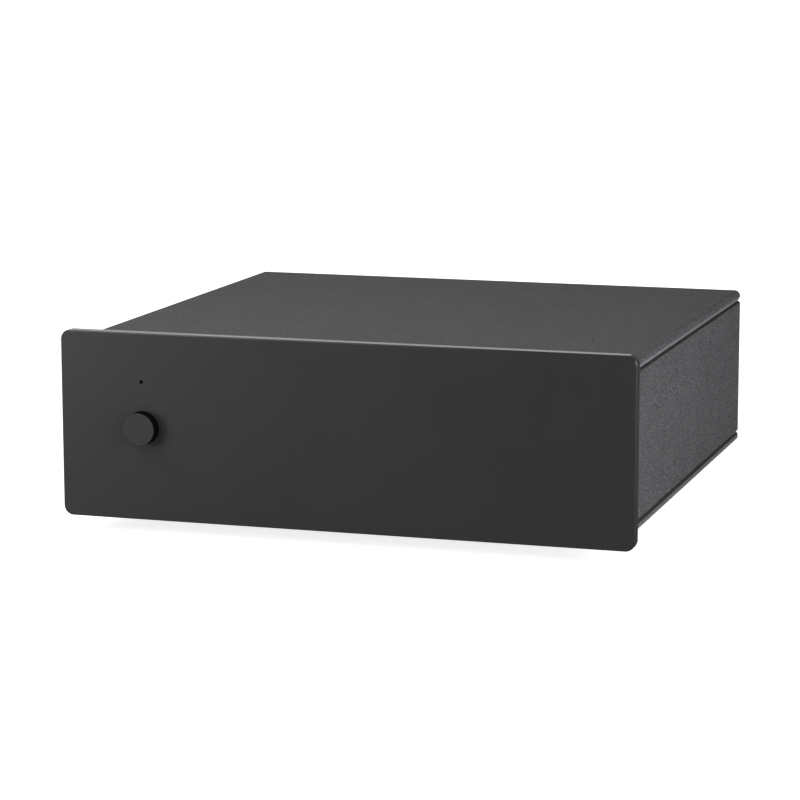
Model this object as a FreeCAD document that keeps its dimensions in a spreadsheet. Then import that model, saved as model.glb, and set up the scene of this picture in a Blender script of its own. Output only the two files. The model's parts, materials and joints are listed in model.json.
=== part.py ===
"""Phono preamp: a flat metal case with a thick front panel, one round button and a pilot lamp.

Millimetres. +Z is up, the front panel faces -Y, and +X is to the right of somebody facing it.
The origin is under the middle of the whole unit, on the surface that its feet stand on.
"""
import FreeCAD
import Part
import Sketcher
import os
import re

doc = FreeCAD.newDocument("PhonoPreamp")
sheet = doc.addObject("Spreadsheet::Sheet", "Sizes")

# Driving sizes: name, value, what it is
DRIVING = [
    ("panel_width", 206, "front panel, side to side"),
    ("panel_height", 66, "front panel, bottom to top edge"),
    ("panel_thick", 4, "front panel plate"),
    ("panel_corner", 3.5, "radius of its four corners"),
    ("panel_bevel", 0.4, "bevel round its front face"),
    ("unit_height", 72, "feet to the panel's top edge"),
    ("body_width", 199.4, "covers behind the panel, over the side panels"),
    ("body_height", 59.2, "covers behind the panel, bottom to top"),
    ("case_depth", 194, "panel face to the rear edge of the covers"),
    ("sheet_thick", 2, "sheet of the covers and the rear panel"),
    ("side_thick", 3, "side panels"),
    ("lip_height", 3.9, "side lip of the top cover"),
    ("lip_slant_in", 0.7, "lower edge of that lip, how far it slants in"),
    ("lip_slant_up", 1.6, "lower edge of that lip, how high the slant is"),
    ("lip_radius", 2.2, "round top edge of that lip"),
    ("base_lip", 3, "side lip of the bottom cover"),
    ("base_round", 1, "round lower edge of that lip"),
    ("base_notch_in", 0.5, "slanted upper edge of that lip, inwards"),
    ("base_notch_up", 0.8, "slanted upper edge of that lip, height"),
    ("side_edge_in", 0.6, "slanted edges of the side panels, inwards"),
    ("side_edge_up", 0.55, "slanted edges of the side panels, height"),
    ("seam_gap", 0.3, "dark seam between a side panel and each cover's lip"),
    ("rear_recess", 3, "rear panel, inwards from the covers' rear edge"),
    ("tab_width", 10, "tabs of the bottom cover that hold both end panels"),
    ("tab_low", 22, "lower row of end panel screws, over the floor"),
    ("tab_high", 52, "upper row of end panel screws, over the floor"),
    ("tab_margin", 2.9, "tabs, above that row's axis"),
    ("flange_half", 78, "rear flange of the top cover, half its length"),
    ("flange_drop", 10, "rear flange of the top cover, height"),
    ("flange_end", 12, "outer flange screws, from the flange's ends"),
    ("hook_offset", 60, "front hooks of the top cover, from the middle"),
    ("hook_width", 14, "front hooks, width"),
    ("hook_thick", 1.2, "front hooks, thickness"),
    ("hook_length", 2, "front hooks, reach into the panel"),
    ("hook_rise", 0.4, "front hooks, over the roof's underside"),
    ("slot_clearance", 0.3, "room round a hook in its slot"),
    ("screw_diameter", 3, "machine screws"),
    ("screw_head", 5.5, "their heads, across"),
    ("screw_head_high", 1.8, "their heads, height"),
    ("screw_clearance", 0.4, "extra width of a hole that a screw passes"),
    ("screw_bite", 2.6, "depth of the threaded holes in the front panel"),
    ("side_bite", 2, "depth of the threaded holes in the side panels"),
    ("drive_width", 2.4, "hexagon socket of the screw heads, across corners"),
    ("drive_depth", 1, "hexagon socket of the screw heads, depth"),
    ("tip_gap", 0.2, "gap between a screw's tip and the end of its hole"),
    ("screw_tail", 0.8, "rear screws, beyond the sheets they hold"),
    ("overshoot", 1, "how far a cut runs on past a face"),
    ("foot_diameter", 20, "feet"),
    ("foot_x", 78, "feet, from the middle line"),
    ("foot_front_in", 46, "front feet, behind the panel face"),
    ("foot_rear_in", 165, "rear feet, behind the panel face"),
    ("foot_lift", 1.2, "gap under the hard part of a foot"),
    ("pad_diameter", 16, "rubber pads under the feet"),
    ("pad_thick", 3, "rubber pads"),
    ("foot_web", 0.4, "feet, recess over the pad before the screw's head"),
    ("foot_head_room", 0.6, "feet, extra width of the screw head's recess"),
    ("foot_screw_tip", 0.5, "foot screws, tip over the floor"),
    ("button_diameter", 11.5, "power button"),
    ("button_reach", 4.5, "power button, out of the panel"),
    ("button_x", -72.5, "power button, from the middle line"),
    ("button_up", 32.7, "power button, over the panel's bottom edge"),
    ("button_travel", 1.8, "power button, when pressed home"),
    ("button_clearance", 0.4, "extra width of the button's hole"),
    ("button_flange", 14, "collar that keeps the button in, across"),
    ("collar_thick", 1.2, "that collar, thickness"),
    ("collar_gap", 0.3, "that collar, gap to the panel"),
    ("stem_diameter", 6, "boss behind the button"),
    ("stem_length", 2.5, "boss behind the button, length"),
    ("plunger_diameter", 3, "push rod of the switch"),
    ("plunger_length", 9.5, "push rod of the switch, length"),
    ("plunger_grip", 2.5, "push rod, depth in the button's boss"),
    ("plunger_clearance", 0.4, "extra width of the switch bore"),
    ("switch_back", 0.8, "switch, wall behind its bore"),
    ("switch_width", 8.5, "switch, width and height"),
    ("switch_front_in", 6.5, "switch, behind the panel's back"),
    ("switch_depth", 8.5, "switch, front to back"),
    ("lamp_x", -72.9, "pilot lamp, from the middle line"),
    ("lamp_up", 48.85, "pilot lamp, over the panel's bottom edge"),
    ("lamp_window", 1.3, "hole in the panel in front of the lamp"),
    ("lamp_diameter", 3, "lamp"),
    ("lamp_seat", 2.4, "depth of the lamp's seat in the panel's back"),
    ("lamp_length", 5.2, "lamp, length of its body"),
    ("lamp_rim", 1, "lamp, rim at its root, thickness"),
    ("lamp_rim_extra", 0.8, "lamp, rim at its root, extra width"),
    ("lead_width", 0.5, "lamp legs, square"),
    ("lead_pitch", 2.54, "spacing of lamp legs, chip pins and regulator legs"),
    ("lead_hole", 0.9, "holes for the lamp legs"),
    ("lead_tail", 0.6, "lamp legs, beyond the board"),
    ("standoff_height", 7, "board over the floor"),
    ("standoff_diameter", 6, "pillars under the board"),
    ("spigot_diameter", 4.2, "pillars, the part set in the floor"),
    ("spigot_sink", 0.2, "pillars, that part's end above the underside"),
    ("pillar_bore", 5, "pillars, depth of their threads"),
    ("board_bite", 4.5, "board screws, depth in the pillars"),
    ("standoff_x", 79, "pillars, from the middle line"),
    ("pillar_front_in", 16, "front pillars, behind the board's front edge"),
    ("pillar_middle_off", 6, "middle pillars, behind the board's middle"),
    ("pillar_rear_in", 5, "rear pillars, before the board's rear edge"),
    ("board_width", 168, "main board, side to side"),
    ("board_front_in", 13, "main board, behind the panel's back"),
    ("board_rear_gap", 1, "main board, gap to the rear panel"),
    ("board_thick", 1.6, "boards"),
    ("front_board_width", 22, "small upright board behind the button"),
    ("front_board_high", 42, "small upright board, height"),
    ("bracket_x", 7.5, "brackets of the small board, from the button's axis"),
    ("bracket_width", 4, "brackets, side to side"),
    ("bracket_thick", 1, "brackets, sheet"),
    ("bracket_high", 8, "brackets, height"),
    ("bracket_deep", 7, "brackets, front to back"),
    ("link_width", 10, "connector between the boards, side to side"),
    ("link_size", 5, "connector between the boards, height and depth"),
    ("wire_diameter", 0.7, "legs of resistors and diodes"),
    ("lead_span", 9, "resistors and diodes, between their legs"),
    ("lead_lift", 0.5, "resistors and diodes, over the board"),
    ("resistor_length", 6.3, "resistors"),
    ("resistor_diameter", 2.3, "resistors"),
    ("resistor_first", 12, "resistors, innermost column from the middle line"),
    ("resistor_step", 13, "resistors, spacing of the columns"),
    ("resistor_in", 106, "resistors, first row behind the panel face"),
    ("resistor_row", 8, "resistors, spacing of the rows"),
    ("diode_length", 5, "diodes"),
    ("diode_diameter", 2.7, "diodes"),
    ("diode_first", -46, "diodes, leftmost from the middle line"),
    ("diode_step", 12, "diodes, spacing"),
    ("diode_in", 28, "diodes, behind the panel face"),
    ("film_width", 8, "film capacitors, side to side"),
    ("film_length", 18, "film capacitors, front to back"),
    ("film_height", 14, "film capacitors, height"),
    ("film_first", 16, "film capacitors and relays, innermost from the middle line"),
    ("film_step", 14, "film capacitors and relays, spacing across"),
    ("film_front_in", 62, "film capacitors, front row behind the panel face"),
    ("film_rear_in", 86, "film capacitors, rear row behind the panel face"),
    ("relay_width", 10, "relays, side to side"),
    ("relay_length", 15, "relays, front to back"),
    ("relay_height", 9, "relays, height"),
    ("relay_in", 160, "relays, behind the panel face"),
    ("chip_width", 6.4, "chips, side to side"),
    ("chip_length", 9.8, "chips, front to back"),
    ("chip_foot", 0.6, "chips, over the board"),
    ("chip_height", 4, "chips, top over the board"),
    ("chip_first", 22, "chips, innermost from the middle line"),
    ("chip_step", 26, "chips, spacing across"),
    ("chip_in", 135, "chips, behind the panel face"),
    ("pin_x", 3.8, "chip pins, from the chip's middle"),
    ("pin_long", 0.6, "chip pins, side to side"),
    ("pin_wide", 0.5, "chip pins, front to back"),
    ("pin_high", 2.2, "chip pins, height"),
    ("can_diameter", 10, "electrolytic capacitors"),
    ("can_height", 17, "electrolytic capacitors"),
    ("can_first", 4, "electrolytic capacitors, leftmost from the middle line"),
    ("can_step", 13, "electrolytic capacitors, spacing across"),
    ("can_in", 30, "electrolytic capacitors, front row behind the panel face"),
    ("can_row", 16, "electrolytic capacitors, spacing of the rows"),
    ("sink_first", 46, "heat sinks, left one from the middle line"),
    ("sink_step", 22, "heat sinks, spacing"),
    ("sink_in", 40, "heat sinks, behind the panel face"),
    ("sink_width", 18, "heat sinks, side to side"),
    ("sink_base", 3, "heat sinks, plate"),
    ("sink_height", 25, "heat sinks, height"),
    ("fin_pitch", 4, "heat sink fins, spacing"),
    ("fin_thick", 1.2, "heat sink fins"),
    ("fin_reach", 10, "heat sink fins, from the plate's middle"),
    ("fin_root", 1, "heat sink fins, start from the plate's middle"),
    ("regulator_width", 10, "regulators"),
    ("regulator_tab", 1.3, "regulators, metal tab"),
    ("regulator_thick", 3, "regulators, plastic body"),
    ("regulator_low", 5, "regulators, over the board"),
    ("regulator_top", 14, "regulators, top of the plastic body over the board"),
    ("regulator_tab_top", 20, "regulators, top of the tab over the board"),
    ("leg_wide", 0.8, "regulator legs, side to side"),
    ("leg_thick", 0.5, "regulator legs, front to back"),
    ("leg_back", 1.1, "regulator legs, from the tab's face"),
    ("dip_x", 42, "switch banks, from the middle line"),
    ("dip_in", 110, "switch banks, behind the panel face"),
    ("dip_length", 22.4, "switch banks, side to side"),
    ("dip_width", 9.9, "switch banks, front to back"),
    ("dip_height", 6.2, "switch banks, housing height"),
    ("lever_pitch", 2.54, "switch levers, spacing"),
    ("lever_width", 1.2, "switch levers, side to side"),
    ("lever_depth", 1.8, "switch levers, front to back"),
    ("lever_stand", 1.4, "switch levers, out of the housing"),
    ("lever_root", 1.6, "switch levers, depth in the housing"),
    ("lever_travel", 2, "switch levers, travel"),
    ("lever_gap", 0.15, "gap round a lever in its slot"),
    ("window_length", 28, "windows under the switch banks, side to side"),
    ("window_width", 15, "windows under the switch banks, front to back"),
    ("window_corner", 2, "windows, corner radius"),
    ("socket_pitch", 22, "spacing of the phono sockets and the earth post"),
    ("socket_up", 22.6, "phono sockets, over the floor"),
    ("socket_reach", 6, "phono sockets, out of the covers' rear edge"),
    ("shell_diameter", 8.3, "phono sockets, outer contact"),
    ("shell_wall", 0.8, "phono sockets, wall of the outer contact"),
    ("shell_flange", 11, "phono sockets, collar of the outer contact"),
    ("shell_flange_thick", 1, "that collar, thickness"),
    ("washer_diameter", 12.6, "coloured washers behind the sockets"),
    ("washer_thick", 0.9, "coloured washers, thickness"),
    ("sleeve_wall", 0.8, "coloured washers, sleeve in the panel hole"),
    ("contact_diameter", 4.2, "centre contacts, outside"),
    ("contact_bore", 3.3, "centre contacts, bore"),
    ("contact_sink", 0.5, "centre contacts, below the shell's rim"),
    ("contact_depth", 8, "centre contacts, depth of the bore"),
    ("block_depth", 13, "socket blocks on the board"),
    ("block_height", 26, "socket blocks, height"),
    ("block_side", 9, "socket blocks, beyond a socket's axis"),
    ("tail_depth", 6, "socket shells, depth in the blocks"),
    ("jack_x", -68, "power inlet, from the middle line"),
    ("jack_width", 10, "power inlet"),
    ("jack_depth", 13.5, "power inlet, behind the rear panel"),
    ("jack_height", 11.5, "power inlet"),
    ("jack_nose", 9, "power inlet, round nose in the panel"),
    ("jack_nose_out", 0.8, "power inlet, nose out of the panel"),
    ("jack_bore", 6.2, "power inlet, bore"),
    ("jack_bore_depth", 10.5, "power inlet, depth of the bore"),
    ("jack_pin", 2.1, "power inlet, centre pin"),
    ("jack_pin_sink", 1, "power inlet, pin below the nose's rim"),
    ("jack_pin_root", 1.5, "power inlet, pin set in the body"),
    ("stud_diameter", 4, "earth post"),
    ("stud_collar", 8, "earth post, collar on the panel"),
    ("stud_collar_thick", 1.2, "earth post, collar thickness"),
    ("stud_inside", 7, "earth post, length behind the rear panel"),
    ("lock_nut_width", 8, "lock nut behind the panel, across corners"),
    ("lock_nut_thick", 3, "lock nut, thickness"),
    ("earth_washer", 9, "loose washer on the earth post"),
    ("earth_washer_thick", 0.8, "loose washer, thickness"),
    ("earth_nut", 9.5, "thumb nut, across"),
    ("earth_nut_thick", 4, "thumb nut, thickness"),
    ("earth_clearance", 0.14, "extra width of the nut's and washer's holes"),
    ("earth_gap", 0.1, "gap between the post's collar and the washer"),
    ("knurl_width", 0.7, "grooves round the thumb nut"),
    ("knurl_margin", 0.6, "thumb nut, plain rims beside the grooves"),
    ("fit_clearance", 0.3, "extra width of panel holes round fixed parts"),
]

# Levels worked out from them: name, formula, what it is
DERIVED = [
    ("panel_front", "-(case_depth + socket_reach - button_reach) / 2", "panel face"),
    ("panel_back", "panel_front + panel_thick", "back of the panel"),
    ("case_rear", "panel_front + case_depth", "rear edge of the covers"),
    ("rear_outer", "case_rear - rear_recess", "outside of the rear panel"),
    ("rear_inner", "rear_outer - sheet_thick", "inside of the rear panel"),
    ("panel_bottom", "unit_height - panel_height", "panel's bottom edge"),
    ("case_bottom", "panel_bottom + (panel_height - body_height) / 2", "underside"),
    ("case_top", "case_bottom + body_height", "top of the top cover"),
    ("floor_top", "case_bottom + sheet_thick", "inside of the floor"),
    ("roof_under", "case_top - sheet_thick", "inside of the roof"),
    ("side_bottom", "case_bottom + base_lip", "bottom of the side panels"),
    ("side_top", "case_top - lip_height", "top of the side panels"),
    ("body_half", "body_width / 2", "outside of the side panels"),
    ("wall_outer", "body_half - side_thick", "outside of the inner walls"),
    ("wall_inner", "wall_outer - sheet_thick", "inside of the inner walls"),
    ("button_z", "panel_bottom + button_up", "button axis"),
    ("lamp_z", "panel_bottom + lamp_up", "lamp axis"),
    ("tab_screw_x", "wall_inner - tab_width / 2", "end panel screws"),
    ("flange_screw_z", "roof_under - flange_drop / 2", "top cover screws"),
    ("board_bottom", "floor_top + standoff_height", "underside of the board"),
    ("board_top", "board_bottom + board_thick", "top of the board"),
    ("tab_top", "floor_top + tab_high + tab_margin", "top of the tabs"),
    ("board_front", "panel_back + board_front_in", "front edge of the board"),
    ("board_rear", "rear_inner - board_rear_gap", "rear edge of the board"),
    ("foot_front_y", "panel_front + foot_front_in", "front feet"),
    ("foot_rear_y", "panel_front + foot_rear_in", "rear feet"),
    ("dip_y", "panel_front + dip_in", "switch banks"),
    ("dip_under", "board_bottom - dip_height", "face of the switch banks"),
    ("socket_z", "floor_top + socket_up", "socket axes"),
    ("socket_end", "case_rear + socket_reach", "rims of the sockets"),
    ("jack_z", "board_top + jack_height / 2", "power inlet axis"),
    ("switch_front", "panel_back + switch_front_in", "front of the switch"),
    ("front_board_y", "switch_front + switch_depth", "front of the small board"),
    ("front_board_back", "front_board_y + board_thick", "back of the small board"),
]

NAMES = {name for name, _, _ in DRIVING + DERIVED}
for row, (name, content, note) in enumerate(DRIVING + DERIVED, start=1):
    formula = "" if isinstance(content, (int, float)) else "="
    sheet.set(f"A{row}", name)
    sheet.set(f"B{row}", f"{formula}{content}")
    sheet.set(f"C{row}", note)
    sheet.setAlias(f"B{row}", name)
doc.recompute()


def linked(formula):
    """The formula with each size in it pointing at its cell."""
    return re.sub(r"[a-z][a-z0-9_]*", lambda m: "Sizes." + m[0] if m[0] in NAMES else m[0], str(formula))


def number(formula):
    """The value that a formula over the sizes has now."""
    return float(sheet.evalExpression(linked(formula)))


def bind(thing, **formulas):
    """Ties properties of an object to formulas over the sizes."""
    for prop, formula in formulas.items():
        thing.setExpression(prop, linked(formula))


def place(thing, x, y, z, turn=None):
    """Puts an object at a point given by three formulas."""
    thing.Placement = FreeCAD.Placement(FreeCAD.Vector(), turn or FreeCAD.Rotation())
    for axis, formula in zip("xyz", (x, y, z)):
        thing.setExpression("Placement.Base." + axis, linked(formula))
    return thing


# Part design: bodies grown from sketches. Every pad and pocket runs from one level to a higher one.

SKETCH_NORMAL = {"XY": 1, "YZ": 1, "XZ": -1}


def rectangle(x0, x1, y0, y1):
    """Corners of an upright rectangle."""
    return [(x0, y0), (x1, y0), (x1, y1), (x0, y1)]


def mirrored(points):
    """A right-hand outline carried on round to the left."""
    return points + [(f"-({x})", y) for x, y in reversed(points)]


def sketch(body, plane, level, loops):
    """Sketch with polygons (lists of points) and circles (x, y, diameter), fully dimensioned."""
    drawing = body.newObject("Sketcher::SketchObject", body.Name + "_sketch")
    support = next(f for f in body.Origin.OriginFeatures if f.Role == plane + "_Plane")
    drawing.AttachmentSupport = [(support, "")]
    drawing.MapMode = "FlatFace"
    drawing.setExpression("AttachmentOffset.Base.z", linked(f"{SKETCH_NORMAL[plane]} * ({level})"))

    def pin(edge, point, x, y):
        """Dimensions one point of the sketch from the origin."""
        for kind, formula in (("DistanceX", x), ("DistanceY", y)):
            rule = Sketcher.Constraint(kind, -1, 1, edge, point, number(formula))
            index = drawing.addConstraint(rule)
            drawing.setExpression(f"Constraints[{index}]", linked(formula))

    for loop in loops:
        start = drawing.GeometryCount
        if isinstance(loop, tuple):
            x, y, diameter = loop
            centre = FreeCAD.Vector(number(x), number(y), 0)
            normal = FreeCAD.Vector(0, 0, 1)
            drawing.addGeometry(Part.Circle(centre, normal, number(diameter) / 2), False)
            pin(start, 3, x, y)
            rule = Sketcher.Constraint("Diameter", start, number(diameter))
            index = drawing.addConstraint(rule)
            drawing.setExpression(f"Constraints[{index}]", linked(diameter))
            continue
        corners = [FreeCAD.Vector(number(x), number(y), 0) for x, y in loop]
        count = len(corners)
        for i in range(count):
            drawing.addGeometry(Part.LineSegment(corners[i], corners[(i + 1) % count]), False)
        for i in range(count):
            link = Sketcher.Constraint("Coincident", start + i, 2, start + (i + 1) % count, 1)
            drawing.addConstraint(link)
        for i, (x, y) in enumerate(loop):
            pin(start + i, 1, x, y)
    return drawing


def new_body(name):
    """An empty body that becomes the piece of that name."""
    body = doc.addObject("PartDesign::Body", name)
    body.Label = name
    return body


def pad(body, plane, low, high, *loops):
    """Adds the loops' area from one level to a higher one."""
    feature = body.newObject("PartDesign::Pad", body.Name + "_pad")
    feature.Profile = sketch(body, plane, low, loops)
    feature.Reversed = SKETCH_NORMAL[plane] < 0
    bind(feature, Length=f"({high}) - ({low})")
    return feature


def pocket(body, plane, low, high, *loops):
    """Takes the loops' area away from one level to a higher one."""
    doc.recompute()
    before = body.Shape.Volume
    feature = body.newObject("PartDesign::Pocket", body.Name + "_pocket")
    feature.Profile = sketch(body, plane, low, loops)
    feature.Reversed = SKETCH_NORMAL[plane] > 0
    bind(feature, Length=f"({high}) - ({low})")
    doc.recompute()
    assert body.Shape.Volume < before - 1e-3, feature.Name + " cuts nothing"
    return feature


def dress(body, kind, size, test):
    """Fillets or chamfers every edge of a body that passes a test."""
    doc.recompute()
    base = body.Tip
    names = [f"Edge{i}" for i, edge in enumerate(base.Shape.Edges, start=1) if test(edge)]
    assert names, body.Name + " has no such edge"
    feature = body.newObject("PartDesign::" + kind, body.Name + "_" + kind.lower())
    feature.Base = (base, names)
    bind(feature, **{"Radius" if kind == "Fillet" else "Size": size})
    return feature


def near(a, formula):
    """Whether a coordinate is at the level that a formula gives."""
    return abs(a - number(formula)) < 1e-4


def edge_along_y(edge, x, z):
    """Whether an edge runs front to back at that place, left or right."""
    box = edge.BoundBox
    straight = near(box.XMin - box.XMax, 0) and near(box.ZMin - box.ZMax, 0)
    return straight and near(abs(box.XMin), x) and near(box.ZMin, z)


# Primitives, joined and cut, for turned parts and small hardware

TURN = {
    "Z": FreeCAD.Rotation(),
    "Y": FreeCAD.Rotation(FreeCAD.Vector(1, 0, 0), -90),
    "X": FreeCAD.Rotation(FreeCAD.Vector(0, 1, 0), 90),
}


def box(x0, x1, y0, y1, z0, z1):
    """Box between three pairs of levels."""
    solid = doc.addObject("Part::Box", "block")
    bind(solid, Length=f"({x1}) - ({x0})", Width=f"({y1}) - ({y0})", Height=f"({z1}) - ({z0})")
    return place(solid, x0, y0, z0)


def at_level(axis, a, b, level):
    """Point at a level along one axis, with the other two coordinates in their order."""
    order = {"X": (level, a, b), "Y": (a, level, b), "Z": (a, b, level)}
    return order[axis]


def rod(axis, a, b, low, high, diameter):
    """Cylinder along an axis, from one level to a higher one."""
    solid = doc.addObject("Part::Cylinder", "rod")
    bind(solid, Radius=f"({diameter}) / 2", Height=f"({high}) - ({low})")
    return place(solid, *at_level(axis, a, b, low), TURN[axis])


def hexagon(axis, a, b, low, high, across):
    """Six-sided bar along an axis, with its width over the corners."""
    solid = doc.addObject("Part::Prism", "hexagon")
    solid.Polygon = 6
    bind(solid, Circumradius=f"({across}) / 2", Height=f"({high}) - ({low})")
    return place(solid, *at_level(axis, a, b, low), TURN[axis])


def cut(base, *tools):
    """The base less each tool."""
    for tool in tools:
        result = doc.addObject("Part::Cut", "cut")
        result.Base = base
        result.Tool = tool
        base = result
    return base


def fuse(*solids):
    """Solids joined into one."""
    result = doc.addObject("Part::MultiFuse", "fuse")
    result.Shapes = list(solids)
    return result


def group(*solids):
    """Separate solids kept together as one piece."""
    result = doc.addObject("Part::Compound", "group")
    result.Links = list(solids)
    return result


def copy_of(master, x, y, z):
    """Another of the same solid, moved to a point."""
    link = doc.addObject("App::Link", "copy")
    link.LinkedObject = master
    return place(link, x, y, z)


pieces = []


def piece(name, thing):
    """Names a finished piece and puts it on the list."""
    thing.Label = name
    assert thing.Label == name, name + " is used twice"
    pieces.append(thing)
    return thing


# Fasteners: a pan head with a hexagon socket and a shank. The head starts at the level "seat".

def screw(axis, a, b, seat, length, way=1):
    """Screw whose shank points to the lower side of its seat (way 1) or the higher (way -1)."""
    def span(near_end, far_end):
        ends = (f"({seat}) + ({near_end})", f"({seat}) + ({far_end})")
        return ends if way > 0 else (f"({seat}) - ({far_end})", f"({seat}) - ({near_end})")

    head = rod(axis, a, b, *span("0", "screw_head_high"), "screw_head")
    shank = rod(axis, a, b, *span(f"-({length})", "0"), "screw_diameter")
    drive = hexagon(axis, a, b, *span("screw_head_high - drive_depth", "screw_head_high"), "drive_width")
    return cut(fuse(head, shank), drive)


SIDES = (-1, 1)
LEVERS = 8
KNURLS = 24
FEET = [(f"{side} * foot_x", row) for side in SIDES for row in ("foot_front_y", "foot_rear_y")]
TAB_SCREWS = [(f"{side} * tab_screw_x", f"floor_top + {row}") for side in SIDES
              for row in ("tab_low", "tab_high")]
FLANGE_SCREWS = [(f"{step} * (flange_half - flange_end)", "flange_screw_z") for step in (-1, 0, 1)]
SIDE_SCREW_SHARES = (0.12, 0.5, 0.84)  # of the way from the front panel to the covers' rear edge
SIDE_SCREW_ROWS = [f"panel_back + (case_rear - panel_back) * {share}" for share in SIDE_SCREW_SHARES]
SIDE_SCREW_Z = "(side_bottom + side_top) / 2"
PILLAR_ROWS = ["board_front + pillar_front_in", "(board_front + board_rear) / 2 + pillar_middle_off",
               "board_rear - pillar_rear_in"]
PILLARS = [(f"{side} * standoff_x", row) for side in SIDES for row in PILLAR_ROWS]
BANKS = {"left": "-dip_x", "right": "dip_x"}

# Sockets in the rear panel, as seen from the front: output pair, earth post, input pair
SOCKETS = {
    "left": ["-socket_pitch", "2 * socket_pitch"],
    "right": ["0", "3 * socket_pitch"],
}
SOCKET_X = SOCKETS["left"] + SOCKETS["right"]
EARTH_X = "socket_pitch"


def make_front_panel():
    """Thick plate with round corners and a fine bevel, drilled for the button and the lamp."""
    body = new_body("front_panel")
    edges = ("-panel_width / 2", "panel_width / 2", "panel_bottom", "unit_height")
    pad(body, "XZ", "panel_front", "panel_back", rectangle(*edges))
    dress(body, "Fillet", "panel_corner",
          lambda e: edge_along_y(e, "panel_width / 2", "panel_bottom")
          or edge_along_y(e, "panel_width / 2", "unit_height"))
    dress(body, "Chamfer", "panel_bevel",
          lambda e: near(e.BoundBox.YMin, "panel_front") and near(e.BoundBox.YMax, "panel_front"))
    pocket(body, "XZ", "panel_front - overshoot", "panel_back + overshoot",
           ("button_x", "button_z", "button_diameter + button_clearance"),
           ("lamp_x", "lamp_z", "lamp_window"))
    pocket(body, "XZ", "panel_back - lamp_seat", "panel_back + overshoot",
           ("lamp_x", "lamp_z", "lamp_diameter"))
    holes = [(x, z, "screw_diameter") for x, z in TAB_SCREWS]
    pocket(body, "XZ", "panel_back - screw_bite", "panel_back + overshoot", *holes)
    slots = []
    for side in SIDES:
        middle = f"{side} * hook_offset"
        half = "hook_width / 2 + slot_clearance"
        slots.append(rectangle(f"{middle} - ({half})", f"{middle} + {half}",
                               "roof_under + hook_rise - slot_clearance",
                               "roof_under + hook_rise + hook_thick + slot_clearance"))
    pocket(body, "XZ", "panel_back - hook_length - slot_clearance", "panel_back + overshoot", *slots)
    piece("front_panel", body)


def make_top_cover():
    """Sheet with thick side lips, two hooks for the front panel and a flange for the rear one."""
    body = new_body("top_cover")
    right = [
        ("wall_inner", "roof_under"), ("wall_inner", "side_top"),
        ("body_half - lip_slant_in", "side_top"), ("body_half", "side_top + lip_slant_up"),
        ("body_half", "case_top"),
    ]
    pad(body, "XZ", "panel_back", "case_rear", mirrored(right))
    flange = rectangle("-flange_half", "flange_half", "roof_under - flange_drop", "roof_under")
    pad(body, "XZ", "rear_inner - sheet_thick", "rear_inner", flange)
    hooks = []
    for side in SIDES:
        middle = f"{side} * hook_offset"
        hooks.append(rectangle(f"{middle} - hook_width / 2", f"{middle} + hook_width / 2",
                               "roof_under + hook_rise", "roof_under + hook_rise + hook_thick"))
    pad(body, "XZ", "panel_back - hook_length", "panel_back", *hooks)
    holes = [(x, z, "screw_diameter") for x, z in FLANGE_SCREWS]
    pocket(body, "XZ", "rear_inner - sheet_thick - overshoot", "rear_inner + overshoot", *holes)
    dress(body, "Fillet", "lip_radius", lambda e: edge_along_y(e, "body_half", "case_top"))
    piece("top_cover", body)


def make_bottom_cover():
    """Trough: floor with a side lip, two inner walls, and tabs that carry both end panels."""
    body = new_body("bottom_cover")
    right = [
        ("body_half", "case_bottom"), ("body_half", "side_bottom - base_notch_up"),
        ("body_half - base_notch_in", "side_bottom"), ("wall_outer", "side_bottom"),
        ("wall_outer", "side_top"), ("wall_inner", "side_top"), ("wall_inner", "floor_top"),
    ]
    pad(body, "XZ", "panel_back", "case_rear", mirrored(right))
    tabs = [
        rectangle("-wall_inner", "tab_width - wall_inner", "floor_top", "tab_top"),
        rectangle("wall_inner - tab_width", "wall_inner", "floor_top", "tab_top"),
    ]
    pad(body, "XZ", "panel_back", "panel_back + sheet_thick", *tabs)
    pad(body, "XZ", "rear_inner - sheet_thick", "rear_inner", *tabs)
    threads = [(x, y, "screw_diameter") for x, y in FEET]
    pillars = [(x, y, "spigot_diameter") for x, y in PILLARS]
    pocket(body, "XY", "case_bottom - overshoot", "floor_top + overshoot", *threads, *pillars)
    windows = [
        rectangle(f"{x} - window_length / 2", f"{x} + window_length / 2",
                  "dip_y - window_width / 2", "dip_y + window_width / 2")
        for x in BANKS.values()
    ]
    pocket(body, "XY", "case_bottom - overshoot", "floor_top + overshoot", *windows)
    passing = [(x, z, "screw_diameter + screw_clearance") for x, z in TAB_SCREWS]
    pocket(body, "XZ", "panel_back - overshoot", "panel_back + sheet_thick + overshoot", *passing)
    threads = [(x, z, "screw_diameter") for x, z in TAB_SCREWS]
    pocket(body, "XZ", "rear_inner - sheet_thick - overshoot", "rear_inner + overshoot", *threads)
    walls = [(y, SIDE_SCREW_Z, "screw_diameter + screw_clearance") for y in SIDE_SCREW_ROWS]
    pocket(body, "YZ", "-wall_outer - overshoot", "wall_outer + overshoot", *walls)
    dress(body, "Fillet", "base_round", lambda e: edge_along_y(e, "body_half", "case_bottom"))
    dress(body, "Fillet", "window_corner",
          lambda e: e.BoundBox.ZLength > number("sheet_thick") - 0.01
          and any(near(abs(e.BoundBox.XMin), f"dip_x + {side} * window_length / 2") for side in SIDES)
          and e.BoundBox.XLength < 1e-4 and e.BoundBox.YLength < 1e-4)
    piece("bottom_cover", body)


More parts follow.
